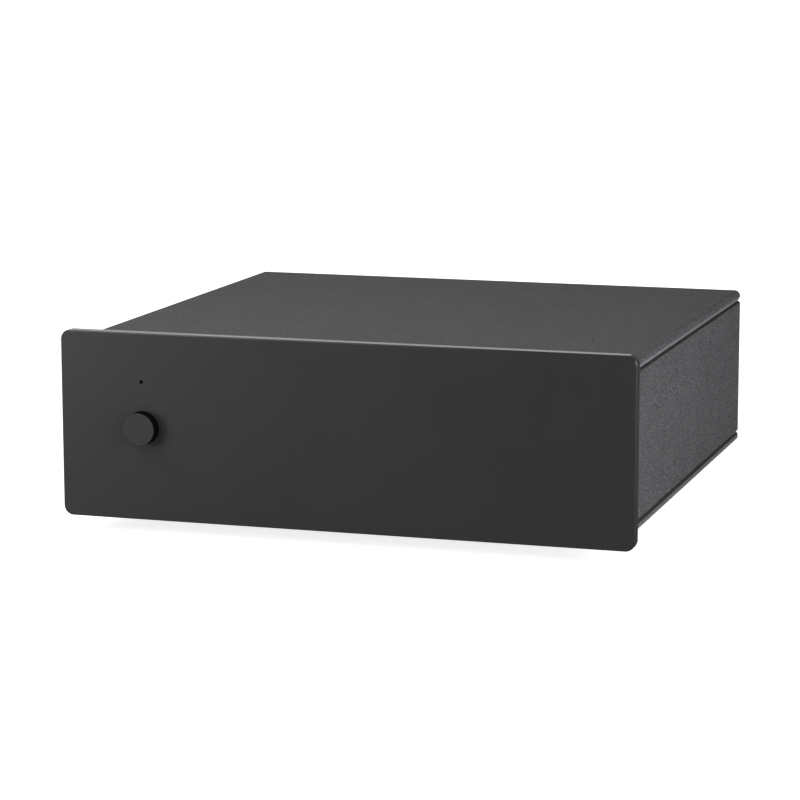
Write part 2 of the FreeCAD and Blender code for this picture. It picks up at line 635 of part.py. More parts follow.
def make_side_panel(name, side):
    """Flat plate between the lips of both covers, screwed on from inside."""
    body = new_body(name)
    low, high = "side_bottom + seam_gap", "side_top - seam_gap"
    outline = [
        ("wall_outer", low), ("body_half - side_edge_in", low), ("body_half", f"{low} + side_edge_up"),
        ("body_half", f"{high} - side_edge_up"), ("body_half - side_edge_in", high), ("wall_outer", high),
    ]
    pad(body, "XZ", "panel_back", "case_rear", [(f"{side} * ({x})", z) for x, z in outline])
    holes = [(y, SIDE_SCREW_Z, "screw_diameter") for y in SIDE_SCREW_ROWS]
    levels = sorted((f"{side} * (wall_outer - overshoot)", f"{side} * (wall_outer + side_bite)"), key=number)
    pocket(body, "YZ", *levels, *holes)
    piece(name, body)


def make_rear_panel():
    """Recessed plate drilled for the sockets, the earth post, the power inlet and its screws."""
    body = new_body("rear_panel")
    pad(body, "XZ", "rear_inner", "rear_outer",
        rectangle("-wall_inner", "wall_inner", "floor_top", "roof_under"))
    holes = [(x, "socket_z", "shell_diameter + 2 * sleeve_wall + fit_clearance") for x in SOCKET_X]
    holes += [(EARTH_X, "socket_z", "stud_diameter + fit_clearance")]
    holes += [("jack_x", "jack_z", "jack_nose + fit_clearance")]
    holes += [(x, z, "screw_diameter + screw_clearance") for x, z in TAB_SCREWS + FLANGE_SCREWS]
    pocket(body, "XZ", "rear_inner - overshoot", "rear_outer + overshoot", *holes)
    piece("rear_panel", body)


def make_feet():
    """Four feet: a hard body with a glued rubber pad that hides the screw."""
    bodies, pads, screws = [], [], []
    for x, y in FEET:
        shell = rod("Z", x, y, "foot_lift", "case_bottom", "foot_diameter")
        seat = rod("Z", x, y, "0", "pad_thick", "pad_diameter")
        under = "pad_thick + foot_web + screw_head_high"
        head = rod("Z", x, y, "0", under, "screw_head + foot_head_room")
        hole = rod("Z", x, y, "pad_thick", "case_bottom + overshoot", "screw_diameter + screw_clearance")
        bodies.append(cut(shell, seat, head, hole))
        pads.append(rod("Z", x, y, "0", "pad_thick", "pad_diameter"))
        length = f"floor_top + foot_screw_tip - ({under})"
        screws.append(screw("Z", x, y, under, length, way=-1))
    piece("foot_bodies", group(*bodies))
    piece("foot_pads", group(*pads))
    piece("foot_screws", group(*screws))


def make_case_screws():
    """Screws of the side panels, both end panels and the top cover."""
    side_screws = []
    for y in SIDE_SCREW_ROWS:
        for side in SIDES:
            side_screws.append(screw("X", y, SIDE_SCREW_Z, f"{side} * wall_inner",
                                     "sheet_thick + side_bite - tip_gap", way=-side))
    piece("side_panel_screws", group(*side_screws))
    through = "2 * sheet_thick + screw_tail"
    rear = [screw("Y", x, z, "rear_outer", through) for x, z in TAB_SCREWS]
    piece("rear_panel_screws", group(*rear))
    top = [screw("Y", x, z, "rear_outer", through) for x, z in FLANGE_SCREWS]
    piece("top_cover_screws", group(*top))
    front = [screw("Y", x, z, "panel_back + sheet_thick", "sheet_thick + screw_bite - tip_gap")
             for x, z in TAB_SCREWS]
    piece("front_panel_screws", group(*front))


def make_board_mounting():
    """Pillars set in the floor, and the screws that hold the board on them."""
    pillars, screws = [], []
    for x, y in PILLARS:
        pillar = rod("Z", x, y, "floor_top", "board_bottom", "standoff_diameter")
        spigot = rod("Z", x, y, "case_bottom + spigot_sink", "floor_top", "spigot_diameter")
        bore = rod("Z", x, y, "board_bottom - pillar_bore", "board_bottom + overshoot", "screw_diameter")
        pillars.append(cut(fuse(pillar, spigot), bore))
        screws.append(screw("Z", x, y, "board_top", "board_thick + board_bite"))
    piece("board_standoffs", group(*pillars))
    piece("board_screws", group(*screws))


def make_button():
    """Button cap with a round collar behind the panel and a boss that grips the push rod."""
    body = new_body("power_button")
    axis = ("button_x", "button_z")
    collar_start = "panel_back + collar_gap"
    collar_end = f"{collar_start} + collar_thick"
    pad(body, "XZ", "panel_front - button_reach", collar_start, (*axis, "button_diameter"))
    pad(body, "XZ", collar_start, collar_end, (*axis, "button_flange"))
    pad(body, "XZ", collar_end, f"{collar_end} + stem_length", (*axis, "stem_diameter"))
    start = f"{collar_end} + stem_length - plunger_grip"
    pocket(body, "XZ", start, f"{collar_end} + stem_length + overshoot", (*axis, "plunger_diameter"))
    dress(body, "Fillet", "panel_bevel",
          lambda e: near(e.BoundBox.YMax, "panel_front - button_reach"))
    piece("power_button", body)
    piece("switch_plunger", rod("Y", *axis, start, f"{start} + plunger_length", "plunger_diameter"))


def make_front_board():
    """Small upright board with the power switch and the lamp, standing on the main board."""
    half = "switch_width / 2"
    shell = box(f"button_x - {half}", f"button_x + {half}", "switch_front", "front_board_y",
                f"button_z - {half}", f"button_z + {half}")
    bore = rod("Y", "button_x", "button_z", "switch_front - overshoot", "front_board_y - switch_back",
               "plunger_diameter + plunger_clearance")
    piece("switch_body", cut(shell, bore))
    board = box("button_x - front_board_width / 2", "button_x + front_board_width / 2",
                "front_board_y", "front_board_back", "board_top", "board_top + front_board_high")
    leg_places = [f"lamp_x + {side} * lead_pitch / 2" for side in SIDES]
    holes = [rod("Y", x, "lamp_z", "front_board_y - overshoot", "front_board_back + overshoot", "lead_hole")
             for x in leg_places]
    piece("front_board", cut(board, *holes))
    start = "panel_back - lamp_seat"
    root = f"{start} + lamp_length"
    dome = rod("Y", "lamp_x", "lamp_z", start, root, "lamp_diameter")
    rim = rod("Y", "lamp_x", "lamp_z", root, f"{root} + lamp_rim", "lamp_diameter + lamp_rim_extra")
    legs = [box(f"{x} - lead_width / 2", f"{x} + lead_width / 2", f"{root} + lamp_rim / 2",
                "front_board_back + lead_tail", "lamp_z - lead_width / 2", "lamp_z + lead_width / 2")
            for x in leg_places]
    piece("indicator_led", fuse(dome, rim, *legs))
    brackets = []
    for side in SIDES:
        low = f"button_x + {side} * bracket_x - bracket_width / 2"
        high = f"button_x + {side} * bracket_x + bracket_width / 2"
        upright = box(low, high, "front_board_back", "front_board_back + bracket_thick",
                      "board_top", "board_top + bracket_high")
        foot = box(low, high, "front_board_back", "front_board_back + bracket_deep",
                   "board_top", "board_top + bracket_thick")
        brackets.append(fuse(upright, foot))
    piece("front_board_brackets", group(*brackets))
    strip = box("button_x - link_width / 2", "button_x + link_width / 2", "front_board_back",
                "front_board_back + link_size", "board_top", "board_top + link_size")
    piece("board_link", strip)


def make_main_board():
    """Main board with holes over its pillars."""
    board = box("-board_width / 2", "board_width / 2", "board_front", "board_rear",
                "board_bottom", "board_top")
    holes = [rod("Z", x, y, "board_bottom - overshoot", "board_top + overshoot",
                 "screw_diameter + screw_clearance") for x, y in PILLARS]
    piece("main_board", cut(board, *holes))


def leaded(length, diameter):
    """Round part that lies across its two bent legs, made at the board's origin."""
    axis = f"{diameter} / 2 + lead_lift"
    barrel = rod("X", "0", axis, f"-{length} / 2", f"{length} / 2", diameter)
    wire = rod("X", "0", axis, "-lead_span / 2", "lead_span / 2", "wire_diameter")
    legs = [rod("Z", f"{side} * lead_span / 2", "0", "0", axis, "wire_diameter") for side in SIDES]
    return fuse(barrel, wire, *legs)


def standing(x, y, width, length, height):
    """Box on the main board, centred on a point."""
    return box(f"{x} - {width} / 2", f"{x} + {width} / 2", f"{y} - {length} / 2", f"{y} + {length} / 2",
               "board_top", f"board_top + {height}")


def eight_pin_chip():
    """Chip body with four pins a side, made at the board's origin."""
    body = box("-chip_width / 2", "chip_width / 2", "-chip_length / 2", "chip_length / 2",
               "chip_foot", "chip_height")
    pins, arms = [], []
    for row in (-1.5, -0.5, 0.5, 1.5):
        low, high = (f"{row} * lead_pitch - pin_wide / 2", f"{row} * lead_pitch + pin_wide / 2")
        for side in SIDES:
            pins.append(box(f"{side} * pin_x - pin_long / 2", f"{side} * pin_x + pin_long / 2", low, high,
                            "0", "pin_high"))
        arms.append(box("-pin_x - pin_long / 2", "pin_x + pin_long / 2", low, high,
                        "pin_high - pin_wide", "pin_high"))
    return fuse(body, *pins, *arms)


def make_components():
    """What stands on the board: two like channels, one each side of the middle line."""
    films, cans, relays, chips, resistors, diodes = [], [], [], [], [], []
    resistor = leaded("resistor_length", "resistor_diameter")
    diode = leaded("diode_length", "diode_diameter")
    chip = eight_pin_chip()
    for side in SIDES:
        for column in range(3):
            x = f"{side} * (film_first + {column} * film_step)"
            for row in ("film_front_in", "film_rear_in"):
                films.append(standing(x, f"panel_front + {row}", "film_width", "film_length", "film_height"))
            relays.append(standing(x, "panel_front + relay_in", "relay_width", "relay_length",
                                   "relay_height"))
        for column in range(2):
            x = f"{side} * (chip_first + {column} * chip_step)"
            chips.append(copy_of(chip, x, "panel_front + chip_in", "board_top"))
        for column in range(5):
            for row in range(3):
                x = f"{side} * (resistor_first + {column} * resistor_step)"
                y = f"panel_front + resistor_in + {row} * resistor_row"
                resistors.append(copy_of(resistor, x, y, "board_top"))
    for column in range(3):
        for row in range(2):
            x, y = f"can_first + {column} * can_step", f"panel_front + can_in + {row} * can_row"
            cans.append(rod("Z", x, y, "board_top", "board_top + can_height", "can_diameter"))
    for column in range(4):
        diodes.append(copy_of(diode, f"diode_first + {column} * diode_step", "panel_front + diode_in",
                              "board_top"))
    piece("film_capacitors", group(*films))
    piece("electrolytic_capacitors", group(*cans))
    piece("relays", group(*relays))
    piece("chips", group(*chips))
    piece("resistors", group(*resistors))
    piece("diodes", group(*diodes))


def make_power_supply():
    """Two regulators, each screwed flat to its own finned heat sink."""
    regulators, sinks = [], []
    y = "panel_front + sink_in"
    for x in ("sink_first", "sink_first + sink_step"):
        base = standing(x, y, "sink_width", "sink_base", "sink_height")
        fins = [box(f"{x} + {step} * fin_pitch - fin_thick / 2", f"{x} + {step} * fin_pitch + fin_thick / 2",
                    f"{y} + fin_root", f"{y} + fin_reach", "board_top", "board_top + sink_height")
                for step in range(-2, 3)]
        sinks.append(fuse(base, *fins))
        left, right = f"{x} - regulator_width / 2", f"{x} + regulator_width / 2"
        plate = f"{y} - sink_base / 2"
        face = f"{plate} - regulator_tab"
        tab = box(left, right, face, plate, "board_top + regulator_low", "board_top + regulator_tab_top")
        case = box(left, right, f"{face} - regulator_thick", face, "board_top + regulator_low",
                   "board_top + regulator_top")
        legs = [box(f"{x} + {step} * lead_pitch - leg_wide / 2", f"{x} + {step} * lead_pitch + leg_wide / 2",
                    f"{face} - leg_back - leg_thick", f"{face} - leg_back",
                    "board_top", "board_top + regulator_low + overshoot") for step in (-1, 0, 1)]
        regulators.append(fuse(tab, case, *legs))
    piece("voltage_regulators", group(*regulators))
    piece("heat_sinks", group(*sinks))


def lever_x(bank, index):
    """Middle of one lever of a switch bank."""
    return f"{BANKS[bank]} + ({index} - {(LEVERS + 1) / 2}) * lever_pitch"


def make_switch_bank(bank):
    """Housing with eight slots under the board, and a slide lever in each slot."""
    x = BANKS[bank]
    housing = box(f"{x} - dip_length / 2", f"{x} + dip_length / 2", "dip_y - dip_width / 2",
                  "dip_y + dip_width / 2", "dip_under", "board_bottom")
    slots, levers = [], []
    half_slot = "(lever_depth + lever_travel) / 2 + lever_gap"
    rest = "dip_y - lever_travel / 2"
    for index in range(1, LEVERS + 1):
        middle = lever_x(bank, index)
        slots.append(box(f"{middle} - lever_width / 2 - lever_gap", f"{middle} + lever_width / 2 + lever_gap",
                         f"dip_y - ({half_slot})", f"dip_y + {half_slot}",
                         "dip_under - overshoot", "dip_under + lever_root + lever_gap"))
        levers.append(box(f"{middle} - lever_width / 2", f"{middle} + lever_width / 2",
                          f"{rest} - lever_depth / 2", f"{rest} + lever_depth / 2",
                          "dip_under - lever_stand", "dip_under + lever_root"))
    piece(f"dip_housing_{bank}", cut(housing, *slots))
    for index, lever in enumerate(levers, start=1):
        piece(f"dip_lever_{bank}_{index}", lever)


def make_sockets():
    """Four phono sockets: shell, coloured washer and core, centre contact, and block on the board."""
    shells, contacts, cores = [], [], {"left": [], "right": []}
    washer_end = "rear_outer + washer_thick"
    inner = "shell_diameter - 2 * shell_wall"
    for channel, places in SOCKETS.items():
        for x in places:
            axis = ("Y", x, "socket_z")
            tube = rod(*axis, "rear_inner - tail_depth", "socket_end", "shell_diameter")
            collar = rod(*axis, washer_end, f"{washer_end} + shell_flange_thick", "shell_flange")
            hollow = rod(*axis, "rear_inner - tail_depth - overshoot", "socket_end + overshoot", inner)
            shells.append(cut(fuse(tube, collar), hollow))
            washer = rod(*axis, "rear_outer", washer_end, "washer_diameter")
            sleeve = rod(*axis, "rear_inner", "rear_outer", "shell_diameter + 2 * sleeve_wall")
            bore = rod(*axis, "rear_inner - overshoot", "socket_end", "shell_diameter")
            cores[channel].append(cut(fuse(washer, sleeve), bore))
            core = rod(*axis, "rear_inner - tail_depth", "socket_end - contact_sink", inner)
            bore = rod(*axis, "rear_inner - tail_depth - overshoot", "socket_end", "contact_diameter")
            cores[channel].append(cut(core, bore))
            contact = rod(*axis, "rear_inner - tail_depth", "socket_end - contact_sink", "contact_diameter")
            bore = rod(*axis, "socket_end - contact_sink - contact_depth", "socket_end + overshoot",
                       "contact_bore")
            contacts.append(cut(contact, bore))
    piece("socket_shells", group(*shells))
    piece("socket_contacts", group(*contacts))
    for channel in SOCKETS:
        piece(f"socket_insulators_{channel}", group(*cores[channel]))
    blocks = []
    for left, right in zip(SOCKETS["left"], SOCKETS["right"]):
        block = box(f"{left} - block_side", f"{right} + block_side", "rear_inner - block_depth", "rear_inner",
                    "board_top", "board_top + block_height")
        bores = [rod("Y", x, "socket_z", "rear_inner - tail_depth", "rear_inner + overshoot",
                     "shell_diameter") for x in (left, right)]
        blocks.append(cut(block, *bores))
    piece("socket_blocks", group(*blocks))


def make_power_inlet():
    """Low-voltage inlet: a block on the board with a round nose in the panel and a centre pin."""
    axis = ("Y", "jack_x", "jack_z")
    rim = "rear_outer + jack_nose_out"
    block = box("jack_x - jack_width / 2", "jack_x + jack_width / 2", "rear_inner - jack_depth", "rear_inner",
                "board_top", "board_top + jack_height")
    nose = rod(*axis, "rear_inner - overshoot", rim, "jack_nose")
    bore = rod(*axis, f"{rim} - jack_bore_depth", f"{rim} + overshoot", "jack_bore")
    seat = rod(*axis, f"{rim} - jack_bore_depth - jack_pin_root", f"{rim}", "jack_pin")
    piece("power_jack_body", cut(fuse(block, nose), bore, seat))
    piece("power_jack_pin", rod(*axis, f"{rim} - jack_bore_depth - jack_pin_root", f"{rim} - jack_pin_sink",
                                "jack_pin"))


def make_earth_post():
    """Earth post: stud with a collar, lock nut behind the panel, loose washer and thumb nut."""
    axis = ("Y", EARTH_X, "socket_z")
    collar_end = "rear_outer + stud_collar_thick"
    stud = rod(*axis, "rear_inner - stud_inside", "socket_end", "stud_diameter")
    collar = rod(*axis, "rear_outer", collar_end, "stud_collar")
    piece("ground_stud", fuse(stud, collar))
    nut = hexagon(*axis, "rear_inner - lock_nut_thick", "rear_inner", "lock_nut_width")
    thread = rod(*axis, "rear_inner - lock_nut_thick - overshoot", "rear_inner + overshoot", "stud_diameter")
    piece("ground_lock_nut", cut(nut, thread))
    washer_start = f"{collar_end} + earth_gap"
    washer_end = f"{washer_start} + earth_washer_thick"
    loose = "stud_diameter + earth_clearance"
    washer = rod(*axis, washer_start, washer_end, "earth_washer")
    hole = rod(*axis, f"{washer_start} - overshoot", f"{washer_end} + overshoot", loose)
    piece("ground_washer", cut(washer, hole))
    body = new_body("ground_nut")
    nut_start = f"{washer_end} + earth_gap"
    nut_end = f"{nut_start} + earth_nut_thick"
    pad(body, "XZ", nut_start, nut_end, (EARTH_X, "socket_z", "earth_nut"))
    pocket(body, "XZ", f"{nut_start} - overshoot", f"{nut_end} + overshoot", (EARTH_X, "socket_z", loose))
    groove = pocket(body, "XZ", f"{nut_start} + knurl_margin", f"{nut_end} - knurl_margin",
                    (EARTH_X, "socket_z + earth_nut / 2", "knurl_width"))
    pattern = body.newObject("PartDesign::PolarPattern", "knurl")
    pattern.Originals = [groove]
    pattern.Axis = (body.getObject("ground_nut_sketch"), ["N_Axis"])
    pattern.Angle = 360
    pattern.Occurrences = KNURLS
    body.Tip = pattern
    piece("ground_nut", body)


make_front_panel()
make_top_cover()
make_bottom_cover()
make_side_panel("side_panel_left", -1)
make_side_panel("side_panel_right", 1)
make_rear_panel()
make_feet()
make_case_screws()
make_board_mounting()
make_button()
make_front_board()
make_main_board()
make_components()
make_power_supply()
for bank_name in BANKS:
    make_switch_bank(bank_name)
make_sockets()
make_power_inlet()
make_earth_post()
doc.recompute()

for thing in doc.Objects:
    assert not {"Invalid", "Error"} & set(thing.State), f"{thing.Label} failed: {thing.State}"
for thing in pieces:
    assert not thing.Shape.isNull() and thing.Shape.isValid(), thing.Label + " has no valid shape"

os.makedirs("parts", exist_ok=True)
for thing in pieces:
    thing.Shape.exportStep(os.path.join("parts", thing.Label + ".step"))
    print(f"{thing.Label}: {len(thing.Shape.Solids)} solid(s), {thing.Shape.Volume:.1f} mm3")
whole = Part.makeCompound([thing.Shape for thing in pieces]).BoundBox
print(f"{len(pieces)} pieces, box {whole}")
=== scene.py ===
# %% [markdown]
# # A phono preamp
# A small metal box that lifts the faint signal of a record player. From the front it is almost
# nothing: a thick black plate, one round button and a pinhole for a lamp. So the picture lives on
# its surfaces: satin anodising on the plate, and a fine grain of baked powder on the covers.
# The metalwork arrives already measured, in metres, as the frame. This script gives it finishes,
# turns the small round pieces anew with softer edges, and sets up the light and the camera.

# %% Load the frame
import json
import math
import bmesh
import bpy
import numpy as np
from mathutils import Euler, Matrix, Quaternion, Vector


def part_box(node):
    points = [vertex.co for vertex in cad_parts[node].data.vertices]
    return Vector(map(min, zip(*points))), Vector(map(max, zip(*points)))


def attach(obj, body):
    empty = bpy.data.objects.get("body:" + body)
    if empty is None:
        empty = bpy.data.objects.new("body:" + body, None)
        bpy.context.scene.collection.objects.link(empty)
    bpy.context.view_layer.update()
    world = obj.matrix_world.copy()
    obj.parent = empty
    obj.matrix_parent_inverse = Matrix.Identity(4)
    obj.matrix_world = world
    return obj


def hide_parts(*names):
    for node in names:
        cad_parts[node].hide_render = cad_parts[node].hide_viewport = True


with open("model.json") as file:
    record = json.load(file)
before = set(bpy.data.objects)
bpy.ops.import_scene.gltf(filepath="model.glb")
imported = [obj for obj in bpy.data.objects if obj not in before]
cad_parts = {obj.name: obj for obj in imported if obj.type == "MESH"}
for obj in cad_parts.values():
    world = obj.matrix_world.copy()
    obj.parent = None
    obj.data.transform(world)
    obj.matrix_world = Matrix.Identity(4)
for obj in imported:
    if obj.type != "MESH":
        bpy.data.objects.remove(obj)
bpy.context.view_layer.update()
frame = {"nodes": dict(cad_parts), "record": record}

NODES = frame["nodes"]
MM = 0.001


def added(name, data):
    """New object in the scene, made of that mesh, lamp or camera."""
    made = bpy.data.objects.new(name, data)
    bpy.context.scene.collection.objects.link(made)
    return made


# %% [markdown]
# ## The camera
# A long lens far away keeps the box's edges nearly parallel, as a catalogue picture does. The
# camera stands to the right of the unit and a little above it. Its place, turn and focal length
# were worked out from the corners of the front plate and the far edges of the top cover.

# %% Camera
PLATE_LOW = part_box("front_panel")[0]
CAMERA_FROM_PLATE = Vector((0.31389, -0.92804, 0.21624))
CAMERA_YAW, CAMERA_DIP, CAMERA_ROLL = (math.radians(turn) for turn in (17.5, 9.85, -0.08))
CAMERA_LENS, SENSOR_WIDTH = 131.69, 36


def photo_camera():
    """Camera placed from the lower middle of the plate's face, turned by yaw, dip and roll."""
    data = bpy.data.cameras.new("catalogue_camera")
    data.sensor_width = SENSOR_WIDTH
    data.lens = CAMERA_LENS
    data.clip_start, data.clip_end = 0.01, 50
    camera = added("catalogue_camera", data)
    camera.location = Vector((0, PLATE_LOW.y, PLATE_LOW.z)) + CAMERA_FROM_PLATE
    aim = Euler((math.pi / 2 - CAMERA_DIP, 0, CAMERA_YAW), "XYZ").to_quaternion()
    camera.rotation_mode = "QUATERNION"
    camera.rotation_quaternion = aim @ Quaternion((0, 0, 1), CAMERA_ROLL)
    bpy.context.scene.camera = camera
    return camera


print("camera at", [round(number, 4) for number in photo_camera().location])

# %% [markdown]
# ## Light
# A dark box needs broad lamps close by, because close lamps fade across it and so show its form.
# Two hang over the near left corner, so the top is brightest there and darkens to the far right.
# One stands low at the left front for the plate, and one at the right for the side. A broad one
# far behind is what the plate's rim and bevel mirror. A small one, below the level of the roof,
# lights only the back. The world is white to the eye, dim to mirrors and dimmer still to all
# else, so it doesn't flatten the modelling.

# %% World and lamps
WORLD_FILL = 0.08
MIRRORED = 0.22
UNIT_MIDDLE = Vector((0, 0, 0.035))


def studio_world():
    """White to the eye and through glass, MIRRORED to a mirror, WORLD_FILL where it only lights."""
    world = bpy.data.worlds.new("studio")
    world.use_nodes = True
    nodes, links = world.node_tree.nodes, world.node_tree.links
    path = nodes.new("ShaderNodeLightPath")
    level = None
    for ray, strength in (("Is Camera Ray", 1), ("Is Transmission Ray", 1), ("Is Glossy Ray", MIRRORED)):
        step = nodes.new("ShaderNodeMath")
        step.operation = "MULTIPLY"
        links.new(path.outputs[ray], step.inputs[0])
        step.inputs[1].default_value = strength
        most = nodes.new("ShaderNodeMath")
        most.operation = "MAXIMUM"
        links.new(step.outputs[0], most.inputs[0])
        most.inputs[1].default_value = WORLD_FILL
        if level is not None:
            links.new(level, most.inputs[1])
        level = most.outputs[0]
    links.new(level, nodes["Background"].inputs["Strength"])
    nodes["Background"].inputs["Color"].default_value = (1, 1, 1, 1)
    bpy.context.scene.world = world


def soft_box(name, place, size, power):
    """Square area lamp of that size in metres, pointed at the unit and not seen itself."""
    data = bpy.data.lights.new(name, "AREA")
    data.shape = "SQUARE"
    data.size = size
    data.energy = power
    lamp = added(name, data)
    lamp.location = place
    lamp.rotation_euler = (UNIT_MIDDLE - Vector(place)).to_track_quat("-Z", "Y").to_euler()
    lamp.visible_camera = False


studio_world()
bpy.context.scene.view_settings.view_transform = "Standard"
soft_box("overhead", place=(-0.27, -0.30, 0.52), size=0.32, power=1.8)
soft_box("near_corner", place=(-0.30, -0.42, 0.36), size=0.30, power=1.25)
soft_box("front_left", place=(-0.46, -0.50, 0.12), size=0.23, power=1.6)
soft_box("right_side", place=(0.72, -0.46, 0.21), size=0.40, power=7.6)
soft_box("behind", place=(-0.54, 1.5, 0.44), size=0.85, power=2.2)
soft_box("rear_panel", place=(0.05, 0.9, 0.036), size=0.065, power=4.0)


# %% [markdown]
# ## Shader maths as Python
# A finish is a small graph of nodes. Written node by node it hides what it computes, so one class
# wraps an output socket and gives it the arithmetic signs: adding two of them adds a Math node.
# Another class holds a material and makes any other node in one call.

# %% Sockets with operators
class Field:
    """A number or colour that varies over a surface: an output socket with arithmetic."""

    def __init__(self, finish, socket):
        self.finish = finish
        self.socket = socket

    def combined(self, operation, other):
        """Math node of this field and another field or number."""
        return self.finish.node("ShaderNodeMath", {"operation": operation}, {0: self, 1: other})

    def __add__(self, other):
        return self.combined("ADD", other)

    def __sub__(self, other):
        return self.combined("SUBTRACT", other)

    def __mul__(self, other):
        return self.combined("MULTIPLY", other)

    def __lt__(self, other):
        return self.combined("LESS_THAN", other)

    def __gt__(self, other):
        return self.combined("GREATER_THAN", other)

    __radd__ = __add__


# The Mix node's sockets for colours are told apart by number only.
MIX_FACTOR, MIX_UNDER, MIX_UPPER, MIX_RESULT = 0, 6, 7, 2


class Finish:
    """A material whose Principled shader takes constants at once and fields by name."""

    def __init__(self, name, **constants):
        self.material = bpy.data.materials.new(name)
        self.material.use_nodes = True
        self.tree = self.material.node_tree
        self.shader = self.tree.nodes["Principled BSDF"]
        for socket, value in constants.items():
            self.shader.inputs[socket.replace("_", " ")].default_value = value
        self.place = self.node("ShaderNodeTexCoord", output="Object")

    def node(self, kind, settings=None, inputs=None, output=0):
        """Any node: its settings first, then numbers or fields for its inputs."""
        made = self.tree.nodes.new(kind)
        for key, value in (settings or {}).items():
            setattr(made, key, value)
        for key, value in (inputs or {}).items():
            if isinstance(value, Field):
                self.tree.links.new(value.socket, made.inputs[key])
            else:
                made.inputs[key].default_value = value
        return Field(self, made.outputs[output])

    def grain(self, size, detail=2.0, squeeze=(1, 1, 1)):
        """Noise between 0 and 1, its blotches that many metres across, longer where squeezed."""
        place = self.node("ShaderNodeMapping", None, {"Vector": self.place, "Scale": squeeze})
        inputs = {"Vector": place, "Scale": 1 / size, "Detail": detail, "Roughness": 0.6}
        return self.node("ShaderNodeTexNoise", None, inputs, "Fac")

    def axis(self, letter):
        """One coordinate of the point, in metres."""
        return self.node("ShaderNodeSeparateXYZ", None, {0: self.place}, letter)

    def facing(self, letter):
        """One coordinate of the face's own direction, between -1 and 1."""
        normal = self.node("ShaderNodeNewGeometry", output="True Normal")
        return self.node("ShaderNodeSeparateXYZ", None, {0: normal}, letter)

    def between(self, under, upper, amount):
        """Colour that goes from one to another as a field goes from 0 to 1. The first may vary."""
        if not isinstance(under, Field):
            under = (*under, 1)
        inputs = {MIX_FACTOR: amount, MIX_UNDER: under, MIX_UPPER: (*upper, 1)}
        return self.node("ShaderNodeMix", {"data_type": "RGBA"}, inputs, MIX_RESULT)

    def feed(self, **fields):
        """Links fields to the shader's sockets by name."""
        for socket, field in fields.items():
            self.tree.links.new(field.socket, self.shader.inputs[socket.replace("_", " ")])

    def emboss(self, height, depth):
        """Bumps the surface by a field, up to that many metres."""
        bump = self.node("ShaderNodeBump", None, {"Height": height, "Distance": depth, "Strength": 1.0})
        self.feed(Normal=bump)


# %% [markdown]
# ## The covers' powder coat
# Powder is sprayed dry and baked until it melts. It never levels quite flat, so the skin is a
# field of tiny hills well under a millimetre across, some a little paler than others. Close up it
# reads as speckle, and from afar as a soft dark grey. Noise at that size drives the colour, the
# roughness and a shallow bump, and a second, finer noise breaks up the hills. Light and shade are
# painted into the colour at the edges. Where a lip looks outwards it is painted paler, a painted
# highlight, and down in the grooves beside the side panels it is painted nearly black, painted shade.
# A face's own direction tells these places apart, so each of the three kinds of sheet gets its own
# rules for them.

# %% Powder coat
POWDER_DARK = (0.0225, 0.0229, 0.0242)
POWDER_PALE = (0.150, 0.151, 0.159)
# Painted light: a pale colour for a painted highlight on lip edges, a near black one for painted shade in
# grooves.
POWDER_PAINTED_HIGHLIGHT = (0.30, 0.305, 0.32)
POWDER_PAINTED_SHADE = (0.004, 0.004, 0.005)
HILL, SPECK, HILL_DEPTH = 0.52 * MM, 0.182 * MM, 0.12 * MM
CONTRAST, DARK_PART = 4.2, 1.78
CLOUD, CLOUD_SHARE = 22 * MM, 0.14
UP_OR_DOWN = 0.15
LEANS_SQUARED, STRAIGHT_SQUARED, SLANT_SQUARED = 0.1, 0.8, 0.02


def undercut(sideways, upwards):
    """Faces that look outwards and down: the lower edge of the top cover's lips."""
    return (upwards < -UP_OR_DOWN) * (sideways * sideways > LEANS_SQUARED)


def outward(sideways, upwards):
    """Faces that look straight out: the bottom cover's lips."""
    return sideways * sideways > STRAIGHT_SQUARED


def upper_slant(sideways, upwards):
    """Faces that look outwards and up: the upper edge of those lips."""
    return (upwards > UP_OR_DOWN) * (sideways * sideways > LEANS_SQUARED)


def slanted(sideways, upwards):
    """Faces that look partly up or down: the edges of the side panels."""
    return upwards * upwards > SLANT_SQUARED


def powder_coat(name, painted_highlight=None, groove=None):
    """Dark grey baked powder. The two rules give faces for a painted highlight and for painted shade, and
    the share of each there.
    """
    finish = Finish(name, Specular_IOR_Level=0.14)
    speckle = finish.grain(HILL, 1.5) * 0.7 + finish.grain(SPECK, 1.0) * 0.3
    cloud = finish.grain(CLOUD, 1.0)
    colour = finish.between(POWDER_DARK, POWDER_PALE, speckle * CONTRAST - DARK_PART + cloud * CLOUD_SHARE)
    facing = [finish.facing(letter) for letter in "XZ"]
    # Painted highlight and painted shade: the chosen faces are mixed towards a pale and a near black
    # colour.
    for tone, rule in ((POWDER_PAINTED_HIGHLIGHT, painted_highlight), (POWDER_PAINTED_SHADE, groove)):
        if rule is not None:
            faces, share = rule
            colour = finish.between(colour, tone, faces(*facing) * share)
    finish.feed(Base_Color=colour, Roughness=0.60 + speckle * 0.26)
    finish.emboss(speckle, HILL_DEPTH)
    return finish.material


# %% [markdown]
# ## Satin black anodising
# The plate and the button are aluminium whose skin was turned to oxide and dyed black. It has no
# grain to speak of. The plate's rim and bevel are cut last, by one sharp tool, so they are smoother
# than the blasted face: they mirror the white behind and show as a pale line along the top. The
# button's wall lies in the shade of its own cap and in its hole, so it is painted almost black: painted
# shade.

# %% Anodised black
PLATE_DARK, PLATE_PALE = (0.0115, 0.0115, 0.0118), (0.0160, 0.0160, 0.0163)
# The button's wall colour is painted shade, almost black.
BUTTON_FACE, BUTTON_WALL_SHADE = (0.0265, 0.0265, 0.0268), (0.0003, 0.0004, 0.0004)
FORWARDS_SQUARED = 0.9


